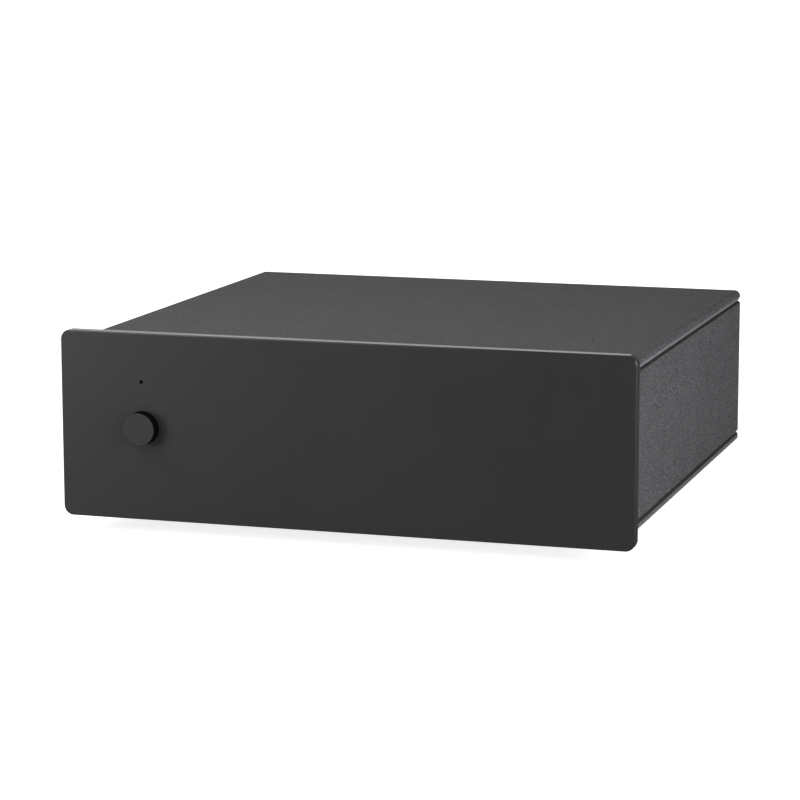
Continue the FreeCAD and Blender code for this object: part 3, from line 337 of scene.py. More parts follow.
def anodised(name, gloss):
    """Nearly smooth skin: its finish, a faint blotch between 0 and 1, and its roughness."""
    finish = Finish(name, Specular_IOR_Level=gloss)
    tooth = finish.grain(0.12 * MM, 1.0)
    cloud = finish.grain(40 * MM, 2.0)
    finish.emboss(tooth, 0.004 * MM)
    return finish, cloud * 0.7 + tooth * 0.3, 0.38 + tooth * 0.05 + cloud * 0.05


def anodised_plate():
    """Dark skin, smoother wherever it doesn't look forwards or back."""
    finish, blotch, rough = anodised("black_anodised", 0.30)
    forwards = finish.facing("Y")
    cut = forwards * forwards < FORWARDS_SQUARED
    finish.feed(Base_Color=finish.between(PLATE_DARK, PLATE_PALE, blotch), Roughness=rough - cut * 0.14)
    return finish.material


def anodised_button(shaded_wall_from):
    """The same skin, painted almost black as painted shade and dull behind that level of Y."""
    finish, _, rough = anodised("button_black", 0.05)
    # Painted shade: behind this level the wall is painted almost black.
    wall = finish.axis("Y") > shaded_wall_from
    finish.feed(Base_Color=finish.between(BUTTON_FACE, BUTTON_WALL_SHADE, wall), Roughness=rough + wall * 0.5)
    return finish.material


# %% [markdown]
# ## Moulded plastics and rubber
# Plastic keeps the skin of its mould: a fine tooth cut by sparks, and faint flow marks where the
# melt ran. Two noises, one fine and one broad, give both. Rubber is the same with less gloss.
# Every plastic on the unit comes from this one recipe.

# %% Plastics
SPARK_TOOTH, SPARK_DEPTH, FLOW_MARK = 0.25 * MM, 0.012 * MM, 9 * MM


def moulded(name, dark, pale, gloss):
    """Plastic between two colours, its roughness starting at gloss."""
    finish = Finish(name, Specular_IOR_Level=0.42)
    pebble = finish.grain(SPARK_TOOTH, 2.0)
    flow = finish.grain(FLOW_MARK, 3.0)
    finish.feed(Base_Color=finish.between(dark, pale, pebble * 0.6 + flow * 0.6 - 0.1))
    finish.feed(Roughness=gloss + pebble * 0.12 + flow * 0.10)
    finish.emboss(pebble, SPARK_DEPTH)
    return finish.material


PLASTICS = {
    "foot_plastic": ((0.010, 0.010, 0.011), (0.026, 0.026, 0.027), 0.45),
    "foot_rubber": ((0.008, 0.008, 0.008), (0.024, 0.024, 0.023), 0.72),
    "black_plastic": ((0.010, 0.010, 0.011), (0.024, 0.024, 0.026), 0.32),
    "pale_plastic": ((0.62, 0.60, 0.54), (0.76, 0.75, 0.70), 0.28),
    "lamp_blue": ((0.004, 0.007, 0.020), (0.010, 0.016, 0.045), 0.12),
    "film_red": ((0.42, 0.020, 0.014), (0.62, 0.045, 0.030), 0.22),
    "can_black": ((0.010, 0.010, 0.016), (0.026, 0.026, 0.036), 0.20),
    "switch_blue": ((0.014, 0.075, 0.36), (0.035, 0.13, 0.52), 0.30),
    "white_plastic": ((0.70, 0.70, 0.67), (0.84, 0.84, 0.82), 0.30),
    "red_plastic": ((0.38, 0.010, 0.010), (0.58, 0.025, 0.020), 0.28),
}
print("plastics", len(PLASTICS))


# %% [markdown]
# ## Metals
# Drawn, turned and plated metal all carry streaks from the tool that made them. A noise squeezed
# along one direction makes long streaks along it. They move the roughness more than the colour,
# which is why a real metal part shows them only where it catches a light. Black steel is oxide
# over steel, so it is dark and only half metallic.

# %% Metals
STREAK, STREAK_DEPTH, STAIN = 0.16 * MM, 0.003 * MM, 4 * MM


def tooled(name, dark, pale, gloss, streaks, metallic=1.0):
    """Metal between two colours with streaks squeezed along the axes as given."""
    finish = Finish(name, Metallic=metallic)
    streak = finish.grain(STREAK, 2.0, streaks)
    stain = finish.grain(STAIN, 3.0)
    finish.feed(Base_Color=finish.between(dark, pale, streak * 0.5 + stain * 0.6 - 0.05))
    finish.feed(Roughness=gloss + streak * 0.14 + stain * 0.10)
    finish.emboss(streak, STREAK_DEPTH)
    return finish.material


ROUND_Y, ALONG_Z = (0.02, 1, 0.02), (1, 1, 0.02)
METALS = {
    "black_steel": ((0.020, 0.020, 0.022), (0.055, 0.055, 0.060), 0.30, ROUND_Y, 0.5),
    "bright_steel": ((0.48, 0.48, 0.50), (0.66, 0.66, 0.67), 0.24, ALONG_Z),
    "aluminium": ((0.60, 0.60, 0.62), (0.76, 0.76, 0.77), 0.30, ALONG_Z),
    "gold_plate": ((0.78, 0.50, 0.17), (0.96, 0.70, 0.31), 0.14, ROUND_Y),
    "nickel_plate": ((0.60, 0.58, 0.55), (0.76, 0.75, 0.71), 0.14, ROUND_Y),
}
print("metals", len(METALS))


# %% [markdown]
# ## Boards and resistors
# A circuit board is green lacquer over copper. Where copper lies under it the green is paler and
# stands a little proud, so a pattern of bricks whose joints are the tracks gives colour and bump
# together. A resistor is blue lacquer with painted rings. The rings cross its length, which is X
# here. X folded to and fro over half the rings' pitch is small just where a ring lies.

# %% Boards and resistors
GREEN_DARK, GREEN_PALE = (0.006, 0.060, 0.022), (0.022, 0.150, 0.060)
BLUE_DARK, BLUE_PALE, RING_BROWN = (0.09, 0.24, 0.46), (0.15, 0.34, 0.58), (0.09, 0.03, 0.015)
HALF_PITCH, HALF_RING = 1.3 * MM, 0.25 * MM


def solder_resist():
    """Green lacquer, paler and higher over a net of copper tracks."""
    finish = Finish("board_green", Specular_IOR_Level=0.45)
    inputs = {"Vector": finish.place, "Scale": 90.0, "Mortar Size": 0.05, "Mortar Smooth": 0.2}
    track = finish.node("ShaderNodeTexBrick", None, inputs, "Fac")
    cloud = finish.grain(6 * MM, 2.0)
    finish.feed(Base_Color=finish.between(GREEN_DARK, GREEN_PALE, track * 0.75 + cloud * 0.25))
    finish.feed(Roughness=0.22 + cloud * 0.12)
    finish.emboss(track, 0.03 * MM)
    return finish.material


def ringed_lacquer():
    """Blue lacquer with dark rings across its length."""
    finish = Finish("resistor_blue", Specular_IOR_Level=0.45)
    inputs = {0: finish.axis("X"), 1: HALF_PITCH}
    folded = finish.node("ShaderNodeMath", {"operation": "PINGPONG"}, inputs)
    cloud = finish.grain(1.5 * MM, 2.0)
    blue = finish.between(BLUE_DARK, BLUE_PALE, cloud)
    finish.feed(Base_Color=finish.between(blue, RING_BROWN, folded < HALF_RING))
    finish.feed(Roughness=0.25 + cloud * 0.15)
    return finish.material


# %% [markdown]
# ## Handing the finishes out
# The record names a slot for every node, and each slot has one finish. The side panels and the
# bottom cover share the top cover's slot, but their edges get their own painted highlight and shade.

# %% Hand the finishes out
BY_SLOT = {
    # The top cover's lip undercuts get a painted highlight.
    "powder_coat": powder_coat("powder_coat", painted_highlight=(undercut, 0.36)),
    "black_anodised": anodised_plate(),
    "board_green": solder_resist(),
    "resistor_blue": ringed_lacquer(),
}
BY_SLOT.update({slot: moulded(slot, *recipe) for slot, recipe in PLASTICS.items()})
BY_SLOT.update({slot: tooled(slot, *recipe) for slot, recipe in METALS.items()})
SLOT_OF = {part["node"]: part["material_slot"] for part in frame["record"]["subparts"]}


def dress(piece, material):
    """Gives a piece one material."""
    piece.data.materials.clear()
    piece.data.materials.append(material)


for node_name, node in NODES.items():
    dress(node, BY_SLOT[SLOT_OF[node_name]])
# Painted shade on the side panels' slanted edges, in the grooves.
SIDE_COAT = powder_coat("powder_coat_sides", groove=(slanted, 0.72))
for node_name in ("side_panel_left", "side_panel_right"):
    dress(NODES[node_name], SIDE_COAT)
# The bottom cover: a painted highlight on its outward lips, painted shade on their upper slants.
BASE_COAT = powder_coat("powder_coat_base", painted_highlight=(outward, 0.16), groove=(upper_slant, 0.72))
dress(NODES["bottom_cover"], BASE_COAT)
print("finishes", sorted(BY_SLOT))


# %% [markdown]
# ## Skins over a grid
# A turned piece is a profile carried round an axis. Both the profile and the angle run over whole
# arrays, so every point comes from one formula, and the faces are the cells of the same grid. The
# metalwork's edges are dead sharp and real edges never are: each corner of a profile is first
# made an arc, because that small arc is what catches the light.

# %% Grid to mesh
SAME_POINT = 1e-7
LARGEST_REACH = 0.45


def skin(name, grids, loop):
    """Mesh over grids of points (piece, row, column, xyz), closed along the columns.

    Face (i, j) joins points (i, j), (i, j + 1), (i + 1, j + 1), (i + 1, j). The rows close on
    themselves if loop is true, and otherwise the first and last row are filled with one face.
    """
    count, rows, columns = grids.shape[:3]
    index = np.arange(count * rows * columns).reshape(count, rows, columns)
    below, above = (index, np.roll(index, -1, 1)) if loop else (index[:, :-1], index[:, 1:])
    quads = np.stack([below, np.roll(below, -1, 2), np.roll(above, -1, 2), above], -1).reshape(-1, 4)
    faces = quads.tolist()
    if not loop:
        faces += index[:, 0, ::-1].tolist() + index[:, -1].tolist()
    mesh = bpy.data.meshes.new(name)
    mesh.from_pydata(grids.reshape(-1, 3).tolist(), [], faces)
    merged = bmesh.new()
    merged.from_mesh(mesh)
    bmesh.ops.remove_doubles(merged, verts=merged.verts, dist=SAME_POINT)
    bmesh.ops.recalc_face_normals(merged, faces=merged.faces)
    merged.to_mesh(mesh)
    merged.free()
    mesh.polygons.foreach_set("use_smooth", np.ones(len(mesh.polygons), bool))
    piece = added(name, mesh)
    piece.modifiers.new("even_normals", "WEIGHTED_NORMAL")
    return piece


def rounded(corners, radius, loop=True, steps=5):
    """Each corner becomes an arc from one tangent point to the other.

    The arc is a rational quadratic curve. With the sine of half the corner's angle as its middle
    weight it is an exact circle of that radius. No arc takes more than LARGEST_REACH of a side. An
    open profile keeps its first and last points.
    """
    points = np.asarray(corners, float)
    sides = [np.roll(points, shift, 0) - points for shift in (1, -1)]
    lengths = [np.hypot(*side.T)[:, None] for side in sides]
    units = [side / length for side, length in zip(sides, lengths)]
    half = np.arccos(np.clip((units[0] * units[1]).sum(1, keepdims=True), -1, 1)) / 2
    reach = np.minimum(radius / np.tan(half), LARGEST_REACH * np.minimum(*lengths))
    start, end = ((points + unit * reach)[:, None] for unit in units)
    t = np.linspace(0, 1, steps)[None, :, None]
    shares = (1 - t) ** 2, 2 * t * (1 - t) * np.sin(half)[:, None], t ** 2
    arcs = (shares[0] * start + shares[1] * points[:, None] + shares[2] * end) / sum(shares)
    arcs = arcs.reshape(-1, 2)
    return arcs if loop else np.vstack([points[:1], arcs[steps:-steps], points[-1:]])


def edge_radii(outline, usual, others):
    """Radius for each corner of an outline: the usual one, or another by the corner's number."""
    return np.array([[others.get(corner, usual)] for corner in range(len(outline))], float)


def spun(name, profile, centres, axis="Y", loop=True, columns=64, swell=None):
    """Profile of (radius, level) in millimetres carried round an axis through each centre.

    Point (i, j) is at angle 2 pi j / columns, with radius i times swell(i, j) and level i.
    """
    profile = np.asarray(profile, float)
    radius, level = (profile * MM).T
    angle = np.arange(columns) * 2 * np.pi / columns
    reach = radius[:, None] * (np.ones(columns) if swell is None else swell(profile, angle))
    across, up = reach * np.cos(angle), reach * np.sin(angle)
    along = np.broadcast_to(level[:, None], reach.shape)
    order = (across, along, up) if axis == "Y" else (across, up, along)
    places = np.asarray(centres, float)[:, None, None] * MM
    return skin(name, places + np.stack(order, -1), loop)


def settle(piece, body, *nodes):
    """The piece takes the finish of the nodes it stands for, and moves with their body."""
    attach(piece, body)
    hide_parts(*nodes)
    dress(piece, BY_SLOT[SLOT_OF[nodes[0]]])
    print(piece.name, "faces", len(piece.data.polygons), "for", nodes)


# %% [markdown]
# ## The power button
# A solid turned cap with a flat face and a fine edge. Behind the plate it has a collar, so it
# can't fall out, and a boss bored for the switch's push rod. The profile runs from the middle of
# the face outwards and back to the bottom of that bore.

# %% Power button
BUTTON_LOW, BUTTON_HIGH = (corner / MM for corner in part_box("power_button"))
BUTTON_X, _, BUTTON_Z = (BUTTON_LOW + BUTTON_HIGH) / 2
CAP_RADIUS, COLLAR_RADIUS, BOSS_RADIUS, ROD_RADIUS = 5.75, 7.0, 3.0, 1.5
BOSS_LENGTH, COLLAR_THICK, AXIS_HOLE = 2.5, 1.2, 0.02
FACE_EDGE, SHADED_WALL_FROM = 0.40, 0.30


def power_button():
    """Cap, collar and boss in one profile."""
    face, root = BUTTON_LOW.y, BUTTON_HIGH.y
    collar = root - BOSS_LENGTH
    outline = [(AXIS_HOLE, face), (CAP_RADIUS, face), (CAP_RADIUS, collar - COLLAR_THICK),
               (COLLAR_RADIUS, collar - COLLAR_THICK), (COLLAR_RADIUS, collar), (BOSS_RADIUS, collar),
               (BOSS_RADIUS, root), (ROD_RADIUS, root), (ROD_RADIUS, collar), (AXIS_HOLE, collar)]
    profile = rounded(outline, edge_radii(outline, 0.15, {1: FACE_EDGE}), loop=False)
    cap = spun("button_cap", profile, [(BUTTON_X, 0, BUTTON_Z)], loop=False, columns=128)
    settle(cap, "button", "power_button")
    # The cap's wall is painted almost black, as painted shade.
    dress(cap, anodised_button((face + SHADED_WALL_FROM) * MM))


power_button()

# %% [markdown]
# ## Feet
# Each foot is a hard ring screwed to the floor, and a rubber pad glued into it hides the screw.
# The pad has a round groove, which gives it a lip to grip with. Both turn about an upright axis.

# %% Feet
FOOT_RADIUS, HOLLOW_RADIUS, PAD_RADIUS, SCREW_HOLE, HEAD_HOLE = 10, 8, 7.97, 1.7, 3.05
RING_LOW, PAD_TOP, HEAD_SEAT, OUTER_EDGE = 1.2, 3, 5.2, 0.9
GROOVE_IN, GROOVE_OUT, GROOVE_DEPTH, GROOVE_SLANT = 4.4, 6.2, 0.6, 0.3
FOOT_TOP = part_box("foot_bodies")[1].z / MM
FOOT_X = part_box("foot_bodies")[1].x / MM - FOOT_RADIUS
FOOT_ROWS = [PLATE_LOW.y / MM + inwards for inwards in (46, 165)]
FEET = [(side * FOOT_X, row, 0) for side in (-1, 1) for row in FOOT_ROWS]


def feet():
    """Four rings and four pads."""
    ring = [(HOLLOW_RADIUS, PAD_TOP), (HOLLOW_RADIUS, RING_LOW), (FOOT_RADIUS, RING_LOW),
            (FOOT_RADIUS, FOOT_TOP), (SCREW_HOLE, FOOT_TOP), (SCREW_HOLE, HEAD_SEAT),
            (HEAD_HOLE, HEAD_SEAT), (HEAD_HOLE, PAD_TOP)]
    profile = rounded(ring, edge_radii(ring, 0.12, {2: OUTER_EDGE}))
    settle(spun("foot_rings", profile, FEET, "Z", columns=96), "case", "foot_bodies")
    pad = [(AXIS_HOLE, PAD_TOP), (PAD_RADIUS, PAD_TOP), (PAD_RADIUS, 0), (GROOVE_OUT, 0),
           (GROOVE_OUT - GROOVE_SLANT, GROOVE_DEPTH), (GROOVE_IN + GROOVE_SLANT, GROOVE_DEPTH),
           (GROOVE_IN, 0), (AXIS_HOLE, 0)]
    pads = spun("foot_rubbers", rounded(pad, 0.25, loop=False), FEET, "Z", loop=False, columns=96)
    settle(pads, "case", "foot_pads")


feet()

# %% [markdown]
# ## Phono sockets
# Each socket is a gold-plated sleeve with a collar, a coloured washer between it and the panel, a
# core of the same plastic, and a bored contact in the middle. White marks the left channel and
# red the right one. Seen from behind, the outputs are at one side and the inputs at the other.

# %% Phono sockets
REAR_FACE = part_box("rear_panel")[1].y / MM
REAR_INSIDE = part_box("rear_panel")[0].y / MM
SOCKET_Z = ((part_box("socket_shells")[0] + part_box("socket_shells")[1]) / 2).z / MM
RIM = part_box("socket_shells")[1].y / MM
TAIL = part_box("socket_shells")[0].y / MM
SOCKET_X = {"out": {"left": -22, "right": 0}, "in": {"left": 44, "right": 66}}
SHELL_OUT, SHELL_IN, LOCK_RADIUS, LOCK_THICK = 4.15, 3.35, 5.5, 1
WASHER_RADIUS, WASHER_THICK, NECK_RADIUS = 6.3, 0.9, 4.95
CONTACT_OUT, CONTACT_BORE, CONTACT_DEPTH, CORE_SINK = 2.1, 1.65, 8, 0.5


def phono_sockets():
    """Sleeves, contacts, and two pieces of plastic for each channel."""
    places = {channel: [(pair[channel], 0, SOCKET_Z) for pair in SOCKET_X.values()]
              for channel in ("left", "right")}
    every = places["left"] + places["right"]
    washer = REAR_FACE + WASHER_THICK
    lock = washer + LOCK_THICK
    core_face = RIM - CORE_SINK
    sleeve = [(SHELL_IN, TAIL), (SHELL_OUT, TAIL), (SHELL_OUT, washer), (LOCK_RADIUS, washer),
              (LOCK_RADIUS, lock), (SHELL_OUT, lock), (SHELL_OUT, RIM), (SHELL_IN, RIM)]
    profile = rounded(sleeve, edge_radii(sleeve, 0.12, {4: 0.3, 6: 0.3}))
    settle(spun("socket_sleeves", profile, every), "case", "socket_shells")
    floor = core_face - CONTACT_DEPTH
    contact = [(AXIS_HOLE, floor), (CONTACT_BORE, floor), (CONTACT_BORE, core_face),
               (CONTACT_OUT, core_face), (CONTACT_OUT, TAIL), (AXIS_HOLE, TAIL)]
    middles = spun("socket_middles", rounded(contact, 0.1, loop=False), every, loop=False, columns=48)
    settle(middles, "case", "socket_contacts")
    collar = [(SHELL_OUT, REAR_INSIDE), (NECK_RADIUS, REAR_INSIDE), (NECK_RADIUS, REAR_FACE),
              (WASHER_RADIUS, REAR_FACE), (WASHER_RADIUS, washer), (SHELL_OUT, washer)]
    core = [(CONTACT_OUT, TAIL), (SHELL_IN, TAIL), (SHELL_IN, core_face), (CONTACT_OUT, core_face)]
    for channel, row in places.items():
        washers = spun("socket_washers_" + channel, rounded(collar, 0.15), row)
        settle(washers, "case", "socket_insulators_" + channel)
        cores = spun("socket_cores_" + channel, rounded(core, 0.08), row)
        settle(cores, "case", "socket_insulators_" + channel)


phono_sockets()

# %% [markdown]
# ## The power inlet's pin
# The low-voltage plug slides over one thin pin with a round nose. It is nickel plated.

# %% Inlet pin
PIN_LOW, PIN_HIGH = (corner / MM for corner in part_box("power_jack_pin"))
NOSE_RADIUS = 0.7


def inlet_pin():
    """Rod with a round nose."""
    radius = (PIN_HIGH.x - PIN_LOW.x) / 2
    outline = [(AXIS_HOLE, PIN_LOW.y), (radius, PIN_LOW.y), (radius, PIN_HIGH.y), (AXIS_HOLE, PIN_HIGH.y)]
    centre = ((PIN_LOW.x + PIN_HIGH.x) / 2, 0, (PIN_LOW.z + PIN_HIGH.z) / 2)
    profile = rounded(outline, edge_radii(outline, 0.1, {2: NOSE_RADIUS}), loop=False)
    pin = spun("inlet_pin", profile, [centre], loop=False, columns=40)
    settle(pin, "case", "power_jack_pin")


inlet_pin()

# %% [markdown]
# ## The earth post
# A turntable's earth wire goes under a washer on a threaded post, and a knurled nut pinches it.
# The thread is real geometry: the radius falls and rises once for each pitch along the post, and
# the phase turns with the angle, which makes one continuous screw line. The nut's knurl is the
# same idea round the edge, with its two rims left plain. The washer and the nut each ride on
# their own body, because the nut turns as it travels.

# %% Earth post
EARTH_X, POST_RADIUS, LOOSE_RADIUS = 22, 2.0, 2.07
POST_LOW, POST_HIGH = (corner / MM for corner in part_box("ground_stud"))
THREAD_PITCH, THREAD_DEPTH, LEVELS_A_PITCH = 0.7, 0.2, 8
TAPER_LONG, TAPER_DEEP = 0.8, 0.35
BASE_RADIUS, BASE_BORE, BASE_THICK = 4, 1.7, 1.2
KNURLS, KNURL_DEPTH, KNURL_SLOPE, COLUMNS_A_KNURL = 24, 0.075, 2.2, 8
KNURL_FROM_RADIUS, KNURL_HALF_WIDTH = 4.4, 1.35
NUT_STEPS, STEP_EDGE = (0.6, 0.75, 3.25, 3.4), 0.02


def thread(profile, angle):
    """One minus a saw of THREAD_DEPTH that repeats every pitch and turns with the angle."""
    turn = profile[:, 1:] / THREAD_PITCH - angle / (2 * np.pi)
    saw = np.abs(2 * (turn - np.floor(turn)) - 1)
    return 1 - THREAD_DEPTH / POST_RADIUS * saw


def knurl(profile, angle):
    """One, less a V of KNURL_DEPTH at each groove, for the points on the outer wall only."""
    radius, level = profile[:, :1], profile[:, 1:]
    middle = (level.min() + level.max()) / 2
    wall = (radius > KNURL_FROM_RADIUS) & (np.abs(level - middle) < KNURL_HALF_WIDTH)
    groove = np.clip(1 - KNURL_SLOPE * np.abs(np.sin(KNURLS * angle / 2)), 0, 1)
    return 1 - KNURL_DEPTH * wall * groove


def loose_ring(name, body, node, at, steps=(), **options):
    """Washer or nut with a clear bore, its wall given more points at those steps above its face."""
    low, high = (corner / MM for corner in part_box(node))
    edge = (high.x - low.x) / 2
    wall = [(edge, low.y), *((edge, low.y + step) for step in steps), (edge, high.y)]
    outline = [(LOOSE_RADIUS, high.y), (LOOSE_RADIUS, low.y)] + wall
    on_steps = {corner: STEP_EDGE for corner in range(3, len(outline) - 1)}
    profile = rounded(outline, edge_radii(outline, 0.2, on_steps))
    settle(spun(name, profile, at, **options), body, node)


def earth_post():
    """Threaded post with its collar, loose washer and thumb nut."""
    at = [(EARTH_X, 0, SOCKET_Z)]
    levels = np.arange(POST_LOW.y, POST_HIGH.y, THREAD_PITCH / LEVELS_A_PITCH)
    levels = np.append(levels[:-1], POST_HIGH.y)
    taper = np.clip((POST_HIGH.y - levels) / TAPER_LONG, 0, 1) * TAPER_DEEP + (POST_RADIUS - TAPER_DEEP)
    post = spun("earth_thread", np.stack([taper, levels], -1), at, loop=False, columns=48, swell=thread)
    settle(post, "case", "ground_stud")
    base_face = REAR_FACE + BASE_THICK
    collar = [(BASE_BORE, REAR_FACE), (BASE_RADIUS, REAR_FACE),
              (BASE_RADIUS, base_face), (BASE_BORE, base_face)]
    settle(spun("earth_collar", rounded(collar, 0.25), at), "case", "ground_stud")
    loose_ring("earth_ring", "earth_washer", "ground_washer", at)
    loose_ring("earth_thumb_nut", "earth_nut", "ground_nut", at, NUT_STEPS,
               columns=KNURLS * COLUMNS_A_KNURL, swell=knurl)


earth_post()

# %% [markdown]
# ## Rear screws
# Low domed heads with a hexagon socket, black steel. The socket is the one place that isn't
# round: there the radius follows a hexagon, which is the flat's distance over the cosine of the
# angle from the nearest flat's middle.

# %% Rear screws
HEAD_RADIUS, HEAD_HIGH, DOME_RADIUS, DOME_DROP = 2.75, 1.8, 1.9, 0.75
SHANK_RADIUS, SHANK_LONG = 1.5, 4.8
DRIVE_RADIUS, DRIVE_DEPTH, DRIVE_MARGIN = 1.04, 1.0, 0.1
SCREW_EDGES = {1: 0.03, 2: 0.08, 3: 0.6, 4: 0.5, 5: 0.12, 6: 0.05, 7: 0.3}


def hexagonal(profile, angle):
    """A hexagon's radius over its flat's distance for the socket's points, and one elsewhere."""
    inside = (profile[:, :1] < DRIVE_RADIUS + DRIVE_MARGIN) & (profile[:, 1:] > REAR_FACE)
    from_flat = (angle + np.pi / 6) % (np.pi / 3) - np.pi / 6
    return np.where(inside, 1 / np.cos(from_flat), 1.0)


def rear_screws():
    """Four screws of the rear panel and three of the top cover."""
    top, low = REAR_FACE + HEAD_HIGH, REAR_FACE
    outline = [(AXIS_HOLE, top - DRIVE_DEPTH), (DRIVE_RADIUS, top - DRIVE_DEPTH), (DRIVE_RADIUS, top),
               (DOME_RADIUS, top), (HEAD_RADIUS, top - DOME_DROP), (HEAD_RADIUS, low), (SHANK_RADIUS, low),
               (SHANK_RADIUS, low - SHANK_LONG), (AXIS_HOLE, low - SHANK_LONG)]
    profile = rounded(outline, edge_radii(outline, 0.1, SCREW_EDGES), loop=False)
    for name, node in (("rear_panel_heads", "rear_panel_screws"), ("top_cover_heads", "top_cover_screws")):
        low_corner, high_corner = (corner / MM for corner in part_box(node))
        left, right = low_corner.x + HEAD_RADIUS, high_corner.x - HEAD_RADIUS
        down, up = low_corner.z + HEAD_RADIUS, high_corner.z - HEAD_RADIUS
        if node == "rear_panel_screws":
            places = [(x, 0, z) for x in (left, right) for z in (down, up)]
        else:
            places = [(x, 0, down) for x in (left, (left + right) / 2, right)]
        screws = spun(name, profile, places, loop=False, columns=48, swell=hexagonal)
        settle(screws, "case", node)


rear_screws()

# %% [markdown]
# ## Switch levers
# Sixteen little sliders under the unit set its gain and loading. Each is a white block with
# softened edges. A box with round edges is an inner box plus a ball: every point is a corner of
# the inner box, plus the radius times a direction, and the directions run over the sphere one
# eighth at a time. Each lever rides on its own body.

# %% Switch levers
BANKS, LEVER_NUMBERS = ("left", "right"), range(1, 9)
LEVER_EDGE = 0.16 * MM


def soft_block(name, low, high, radius, steps=4):
    """Box whose point is an inner corner plus the radius times a direction on the sphere."""
    quarter = np.linspace(0, np.pi / 2, steps)
    theta = np.concatenate([quarter + turn * np.pi / 2 for turn in range(4)])
    phi = np.concatenate([quarter - np.pi / 2, quarter])[:, None]
    along_x, along_y = (np.repeat(row, steps) for row in ([1, -1, -1, 1], [1, 1, -1, -1]))
    along_z = np.repeat([-1, 1], steps)[:, None]
    signs = np.stack(np.broadcast_arrays(along_x, along_y, along_z), -1)
    flat = np.cos(phi)
    ball = np.stack(np.broadcast_arrays(flat * np.cos(theta), flat * np.sin(theta), np.sin(phi)), -1)
    middle, half = (np.array(high) + low) / 2, (np.array(high) - low) / 2
    return skin(name, (middle + signs * (half - radius) + ball * radius)[None], loop=False)


for bank in BANKS:
    for number in LEVER_NUMBERS:
        lever_node = f"dip_lever_{bank}_{number}"
        low, high = (np.array(corner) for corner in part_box(lever_node))
        lever = soft_block(f"slider_{bank}_{number}", low, high, LEVER_EDGE)
        settle(lever, f"lever_{bank}_{number}", lever_node)

# %% [markdown]
# ## Printed marks
# The back carries only plain words that any such unit has: IN and OUT, L and R, and three bars for
# earth. Under the unit the switches are numbered. Letters start as a text curve, become a mesh,
# and only then are their points moved on to the surface, a few hundredths of a millimetre proud.

# %% Printed marks
INK_PROUD = 0.03
FONT_SCALE = 1.4
WORD_HEIGHT, WORD_RISE = 2.6, 15
LETTER_HEIGHT, LETTER_RISE = 2.2, 10
DIGIT_HEIGHT, DIGIT_INWARDS = 1.1, 1.25
BANK_X, LEVER_PITCH = {"left": -42, "right": 42}, 2.54


def printing_ink():
    """White ink, a little uneven where the screen's mesh pressed it."""
    finish = Finish("printing_ink", Specular_IOR_Level=0.3)
    weave = finish.grain(0.1 * MM, 1.0)
    finish.feed(Base_Color=finish.between((0.52, 0.52, 0.52), (0.72, 0.72, 0.71), weave))
    finish.feed(Roughness=0.45 + weave * 0.2)
    return finish.material


INK = printing_ink()


def inked(piece):
    """The piece is a mark on the case."""
    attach(piece, "case")
    dress(piece, INK)


def printed(name, text, height, place, below=False):
    """Word on the rear panel, read from behind, or on a face read from below."""
    curve = bpy.data.curves.new(name, "FONT")
    curve.body = text
    curve.size = height * FONT_SCALE
    curve.align_x, curve.align_y = "CENTER", "CENTER"
    curve.extrude = INK_PROUD / 2
    maker = bpy.data.objects.new(name + "_maker", curve)
    mesh = bpy.data.meshes.new_from_object(maker)
    bpy.data.objects.remove(maker)
    points = np.empty(len(mesh.vertices) * 3, np.float32)
    mesh.vertices.foreach_get("co", points)
    x, y, z = points.reshape(-1, 3).T
    out = z + INK_PROUD / 2
    turned = np.stack([x, -y, -out] if below else [-x, out, y], -1)
    mesh.vertices.foreach_set("co", ((turned + place) * MM).ravel())
    mesh.update()
    inked(added(name, mesh))


for pair, ends in SOCKET_X.items():
    between_them = sum(ends.values()) / 2
    printed("mark_" + pair, pair.upper(), WORD_HEIGHT, (between_them, REAR_FACE, SOCKET_Z + WORD_RISE))
for pair, ends in SOCKET_X.items():
    for channel, x in ends.items():
        letter = channel[0]
        spot = (x, REAR_FACE, SOCKET_Z + LETTER_RISE)
        printed(f"mark_{pair}_{letter}", letter.upper(), LETTER_HEIGHT, spot)
for bank in BANKS:
    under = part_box("dip_housing_" + bank)[0] / MM
    for number in LEVER_NUMBERS:
        x = BANK_X[bank] + (number - 4.5) * LEVER_PITCH
        spot = (x, under.y + DIGIT_INWARDS, under.z)
        printed(f"number_{bank}_{number}", str(number), DIGIT_HEIGHT, spot, below=True)

# %% Earth mark
STROKE, STROKE_EDGE = 0.25, 0.012 * MM
EARTH_BARS = [(2.4, STROKE, 2.2), (1.2, 2.2, STROKE), (0.5, 1.5, STROKE), (-0.2, 0.8, STROKE)]


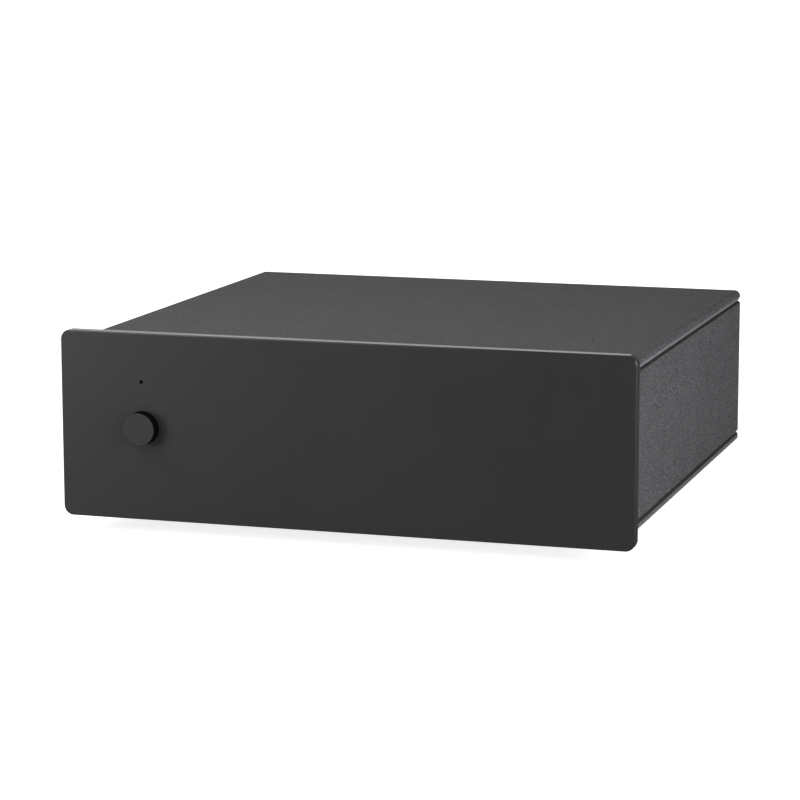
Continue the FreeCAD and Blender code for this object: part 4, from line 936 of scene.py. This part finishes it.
def earth_mark():
    """A stem and three bars, each shorter than the last: their rises, widths and heights."""
    centre = np.array([EARTH_X, REAR_FACE + INK_PROUD / 2, SOCKET_Z + LETTER_RISE])
    for row, (rise, wide, tall) in enumerate(EARTH_BARS, 1):
        middle = centre + (0, 0, rise)
        half = np.array([wide, INK_PROUD, tall]) / 2
        inked(soft_block(f"mark_earth_{row}", (middle - half) * MM, (middle + half) * MM, STROKE_EDGE, 2))


earth_mark()

# %% [markdown]
# ## The ground
# The unit stands on a white table that fills the view. Lamps close to a small object leave the
# far table dark, so to the camera the table glows, more with distance. It still darkens a little
# under the box, where the light doesn't reach. To a mirror it is a middle grey, as the dark end of
# a studio is, so that low, grazing reflections don't wash out the sides.

# %% Ground
GROUND_HALF = 6.0
GROUND_SEEN, GROUND_MIRRORED = (0.80, 0.80, 0.80), (0.28, 0.28, 0.28)
GLOW_NEAR, GLOW_FAR = 0.80, 1.0
GLOW_RISES, GLOW_FULL = 0.15, 0.45


def ground():
    """Wide white floor at the feet, glowing to the camera from GLOW_NEAR to GLOW_FAR."""
    mesh = bpy.data.meshes.new("ground")
    corners = [(x * GROUND_HALF, y * GROUND_HALF, 0) for x, y in ((-1, -1), (1, -1), (1, 1), (-1, 1))]
    mesh.from_pydata(corners, [], [(0, 1, 2, 3)])
    floor = added("ground", mesh)
    finish = Finish("ground_white", Roughness=0.9, Specular_IOR_Level=0.0, Emission_Strength=1)
    tooth = finish.grain(3 * MM)
    mirrored = finish.node("ShaderNodeLightPath", output="Is Glossy Ray")
    finish.feed(Base_Color=finish.between(GROUND_SEEN, GROUND_MIRRORED, mirrored + tooth * 0.02))
    away = finish.node("ShaderNodeVectorMath", {"operation": "LENGTH"}, {0: finish.place}, "Value")
    reach = {"Value": away, "From Min": GLOW_RISES, "From Max": GLOW_FULL}
    glow = finish.node("ShaderNodeMapRange", None, {**reach, "To Min": GLOW_NEAR, "To Max": GLOW_FAR})
    seen = finish.node("ShaderNodeLightPath", output="Is Camera Ray")
    finish.feed(Emission_Color=finish.between((0, 0, 0), (1, 1, 1), seen * glow))
    dress(floor, finish.material)


ground()
